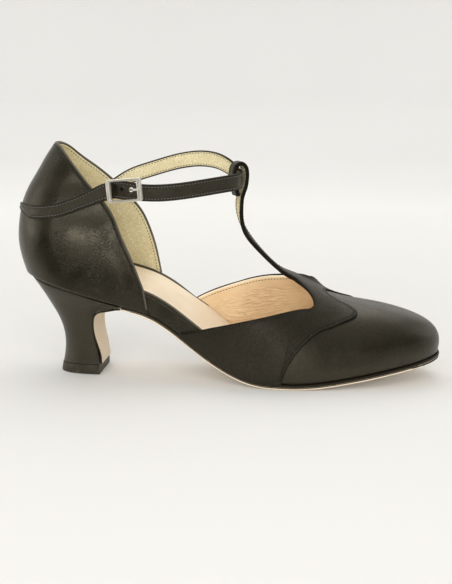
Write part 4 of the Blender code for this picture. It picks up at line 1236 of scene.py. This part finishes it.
def napped_suede(name, light, dark):
    """Short chrome suede: a soft nap brushed one way, with faint smudges."""
    f = Finish(name, Specular_IOR_Level=0.2, Sheen_Weight=0.25, Sheen_Roughness=0.5)
    nap = f.cloud(1.0, 3.0, 0.6, f.stretched((900.0, 2600.0, 2600.0)))
    smudge = f.ramp(f.cloud(60.0, 3.0), (0.40, 0.0), (0.70, 1.0))
    tone = f.tint(nap, dark, light)
    tone = f.tint(smudge * 0.25, tone, mix(dark, (0.2, 0.17, 0.14), 0.4))
    f.drive(Base_Color=tone, Roughness=0.85 + 0.1 * nap, Normal=f.relief(nap, 0.15, 0.5))
    return f


def dyed_edge(name):
    """Board edge burnished with black ink."""
    f = Finish(name, Specular_IOR_Level=0.4, Specular_Tint=WARM)
    grain = f.cloud(1.0, 2.0, 0.5, f.stretched((160.0, 900.0, 2600.0)))
    tone = f.tint(grain, (0.005, 0.0040, 0.0022), (0.012, 0.010, 0.006))
    f.drive(Base_Color=tone, Roughness=0.42 + 0.2 * grain, Normal=f.relief(grain, 0.04, 0.5))
    return f


edge_ink = dyed_edge("edge_ink")
suede = napped_suede("chrome_suede", (0.86, 0.74, 0.57), (0.68, 0.55, 0.40))
board_wall = Wall([sole_rows(62.4, 0.0, waist_tuck, MIDSOLE)], (140, 0, -400))
midsole = board_wall.piece("midsole_board", [edge_ink], 0.25)
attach(midsole, "root")
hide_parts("midsole")
drop = GAP + MIDSOLE
breast = [(row[0], row[1], row[5] - 1.6) for row in HEEL]
breast[0] = (breast[0][0], 5.9, breast[0][2])
breast_line = path([row[:2] for row in breast] + [(62.0, under(62.0, drop) + 0.1), (68.0, under(68.0, drop))])
breast_width = path([row[2:] for row in breast] + [(half(62.0, -1) - 1.6,), (half(68.0, -1) - 1.3,)])
sole_grid = []
for t in steps(0.0, 1.0, 90)[:-1]:
    x, z = breast_line(t)
    x2, z2 = breast_line(t + 0.01)
    x1, z1 = breast_line(t - 0.01)
    d = math.hypot(x2 - x1, z2 - z1)
    w = breast_width(t)[0]
    if z > 38.0:
        w = min(w, half(x, 1) - 1.3)
    low = (x + (z2 - z1) / d * GAP, z - (x2 - x1) / d * GAP)
    sole_grid.append([(low[0], -w + 2 * w * r, low[1], -OUTSOLE, 0.0) for r in steps(0, 1, 16)])


def suede_edge(x):
    return waist_tuck(x) - 0.2


sole_grid += sole_rows(68.0, drop, suede_edge, OUTSOLE)
outsole = Wall([sole_grid], (140, 0, -400)).piece("outsole_suede", [suede], 0.2)
outsole.data.materials.append(edge_ink.made)
for face in outsole.data.polygons:
    x, z = shoe_xz(face.center)
    deep = under(x, drop) - z
    inked = (0.45 + 0.65 * smooth(220.0, 238.0, x)) * OUTSOLE
    rim = abs(face.normal.z) < 0.8 and x > 60.0 and deep < inked
    if rim or (x < 61.0 and abs(face.normal.y) > 0.6):
        face.material_index = 1
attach(outsole, "root")
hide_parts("outsole")

# Studio
# A pale paper floor that curves up all round, a large soft light overhead and a little behind the shoe,
# smaller ones on the left, the right and low in front, and a broad fill that leaves no shine. The paper
# in front isn't mirrored in the leather, and the surround is dim at the horizon and bright above.


def round_sheet(name, rings, finish, start=-5.0, end=355.0):
    """Sheet turned about the vertical from start to end; each ring has its two radii and its height in m."""
    n = round((end - start) / 5.0) + 1
    turn = [math.radians(a) for a in steps(start, end, n - 1)]
    points = [(r * math.cos(a), q * math.sin(a), z) for r, q, z in rings for a in turn]
    faces = []
    for k in range(len(rings) - 1):
        for i in range(k * n, k * n + n - 1):
            faces.append([i, i + 1, n + i + 1, n + i])
    mesh = bpy.data.meshes.new(name)
    mesh.from_pydata(points, [], faces)
    mesh.shade_smooth()
    mesh.materials.append(finish.made)
    made = placed(name, mesh)
    return made


paper = Finish("studio_paper", Roughness=0.8, Specular_IOR_Level=0.15, Emission_Strength=0.16)
# The paper glows as well: painted light, fainter near the middle and full from 0.95 m out, that keeps it
# evenly bright and lifts the shoe's shadow.
away = paper.node('ShaderNodeVectorMath', {"operation": 'LENGTH'}, {0: paper.at}, "Value")
glow = paper.tint(paper.ramp(away, (0.30, 0.0), (0.95, 1.0)), (0.34, 0.34, 0.335), (1.0, 0.995, 0.985))
tone = paper.tint(paper.cloud(3.0, 2.0), (0.71, 0.708, 0.698), (0.74, 0.738, 0.728))
paper.drive(Base_Color=tone, Emission_Color=glow)
FLOOR = ((0.0005, 0.0005, -0.0002), (0.16, 0.07, -0.0002), (0.34, 0.14, -0.0002))
floor = round_sheet("floor", FLOOR, paper)
BACKDROP = (FLOOR[-1], (0.8, 0.8, -0.0002), (1.3, 1.3, -0.0002), (1.6, 1.6, 0.03),
            (1.85, 1.85, 0.15), (2.0, 2.0, 0.4), (2.05, 2.05, 0.9), (2.05, 2.05, 1.5))
backdrop = round_sheet("backdrop", BACKDROP, paper, -5.0, 210.0)
front_paper = round_sheet("front_paper", BACKDROP, paper, 210.0, 355.0)
front_paper.visible_glossy = False

surround = bpy.data.worlds.new("studio")
surround.use_nodes = True
sky = surround.node_tree
height = sky.nodes.new('ShaderNodeSeparateXYZ')
sky.links.new(sky.nodes.new('ShaderNodeTexCoord').outputs["Generated"], height.inputs[0])
fade = sky.nodes.new('ShaderNodeValToRGB')
SKY = ((0.15, (0.03, 0.03, 0.03, 1.0)), (1.0, (1.0, 0.98, 0.94, 1.0)))
for element, (place, colour) in zip(fade.color_ramp.elements, SKY):
    element.position = place
    element.color = colour
sky.links.new(height.outputs["Z"], fade.inputs["Fac"])
sky.links.new(fade.outputs["Color"], sky.nodes["Background"].inputs["Color"])
sky.nodes["Background"].inputs["Strength"].default_value = 0.7
bpy.context.scene.world = surround
# Name, place, aim, width, height, power
LIGHTS = (("overhead", (-0.15, 0.75, 1.4), (0.0, 0.05, 0.0), 1.6, 1.6, 11.0),
          ("left", (-1.2, -0.45, 0.32), (0.0, 0.0, 0.06), 0.8, 0.5, 2.0),
          ("front", (-0.12, -1.24, 0.22), (0.0, 0.0, 0.08), 0.42, 0.16, 2.3),
          ("right", (1.2, 0.15, 0.75), (0.0, 0.0, 0.04), 1.0, 1.0, 1.6),
          ("fill", (0.1, -1.3, 0.8), (0.0, 0.0, 0.05), 1.2, 1.2, 11.0))
for name, at, aim, wide, high, power in LIGHTS:
    lamp = bpy.data.lights.new(name, 'AREA')
    lamp.shape = 'RECTANGLE'
    lamp.size = wide
    lamp.size_y = high
    lamp.energy = power
    lamp.color = (1.0, 0.98, 0.95)
    light = placed(name, lamp)
    light.visible_glossy = name != "fill"
    light.location = at
    light.rotation_euler = (Vector(aim) - Vector(at)).to_track_quat('-Z', 'Y').to_euler()
bpy.context.scene.view_settings.view_transform = 'Standard'

# Camera
# It looks from the outer side, a little from the front and from above. The whole shoe is in view, with
# some paper above and below it.
eye = bpy.data.cameras.new("photo_camera")
eye.sensor_width = 36.0
eye.lens = 64.65
eye.clip_start = 0.01
camera = placed("photo_camera", eye)
back_way = Vector((0.08758, -0.97935, 0.18224))
CAMERA_AIM = (118.6, 0.0, 46.5)
CAMERA_AWAY = 0.6
camera.location = Vector(world(CAMERA_AIM)) + back_way * CAMERA_AWAY
camera.rotation_euler = (-back_way).to_track_quat('-Z', 'Y').to_euler()
bpy.context.scene.camera = camera
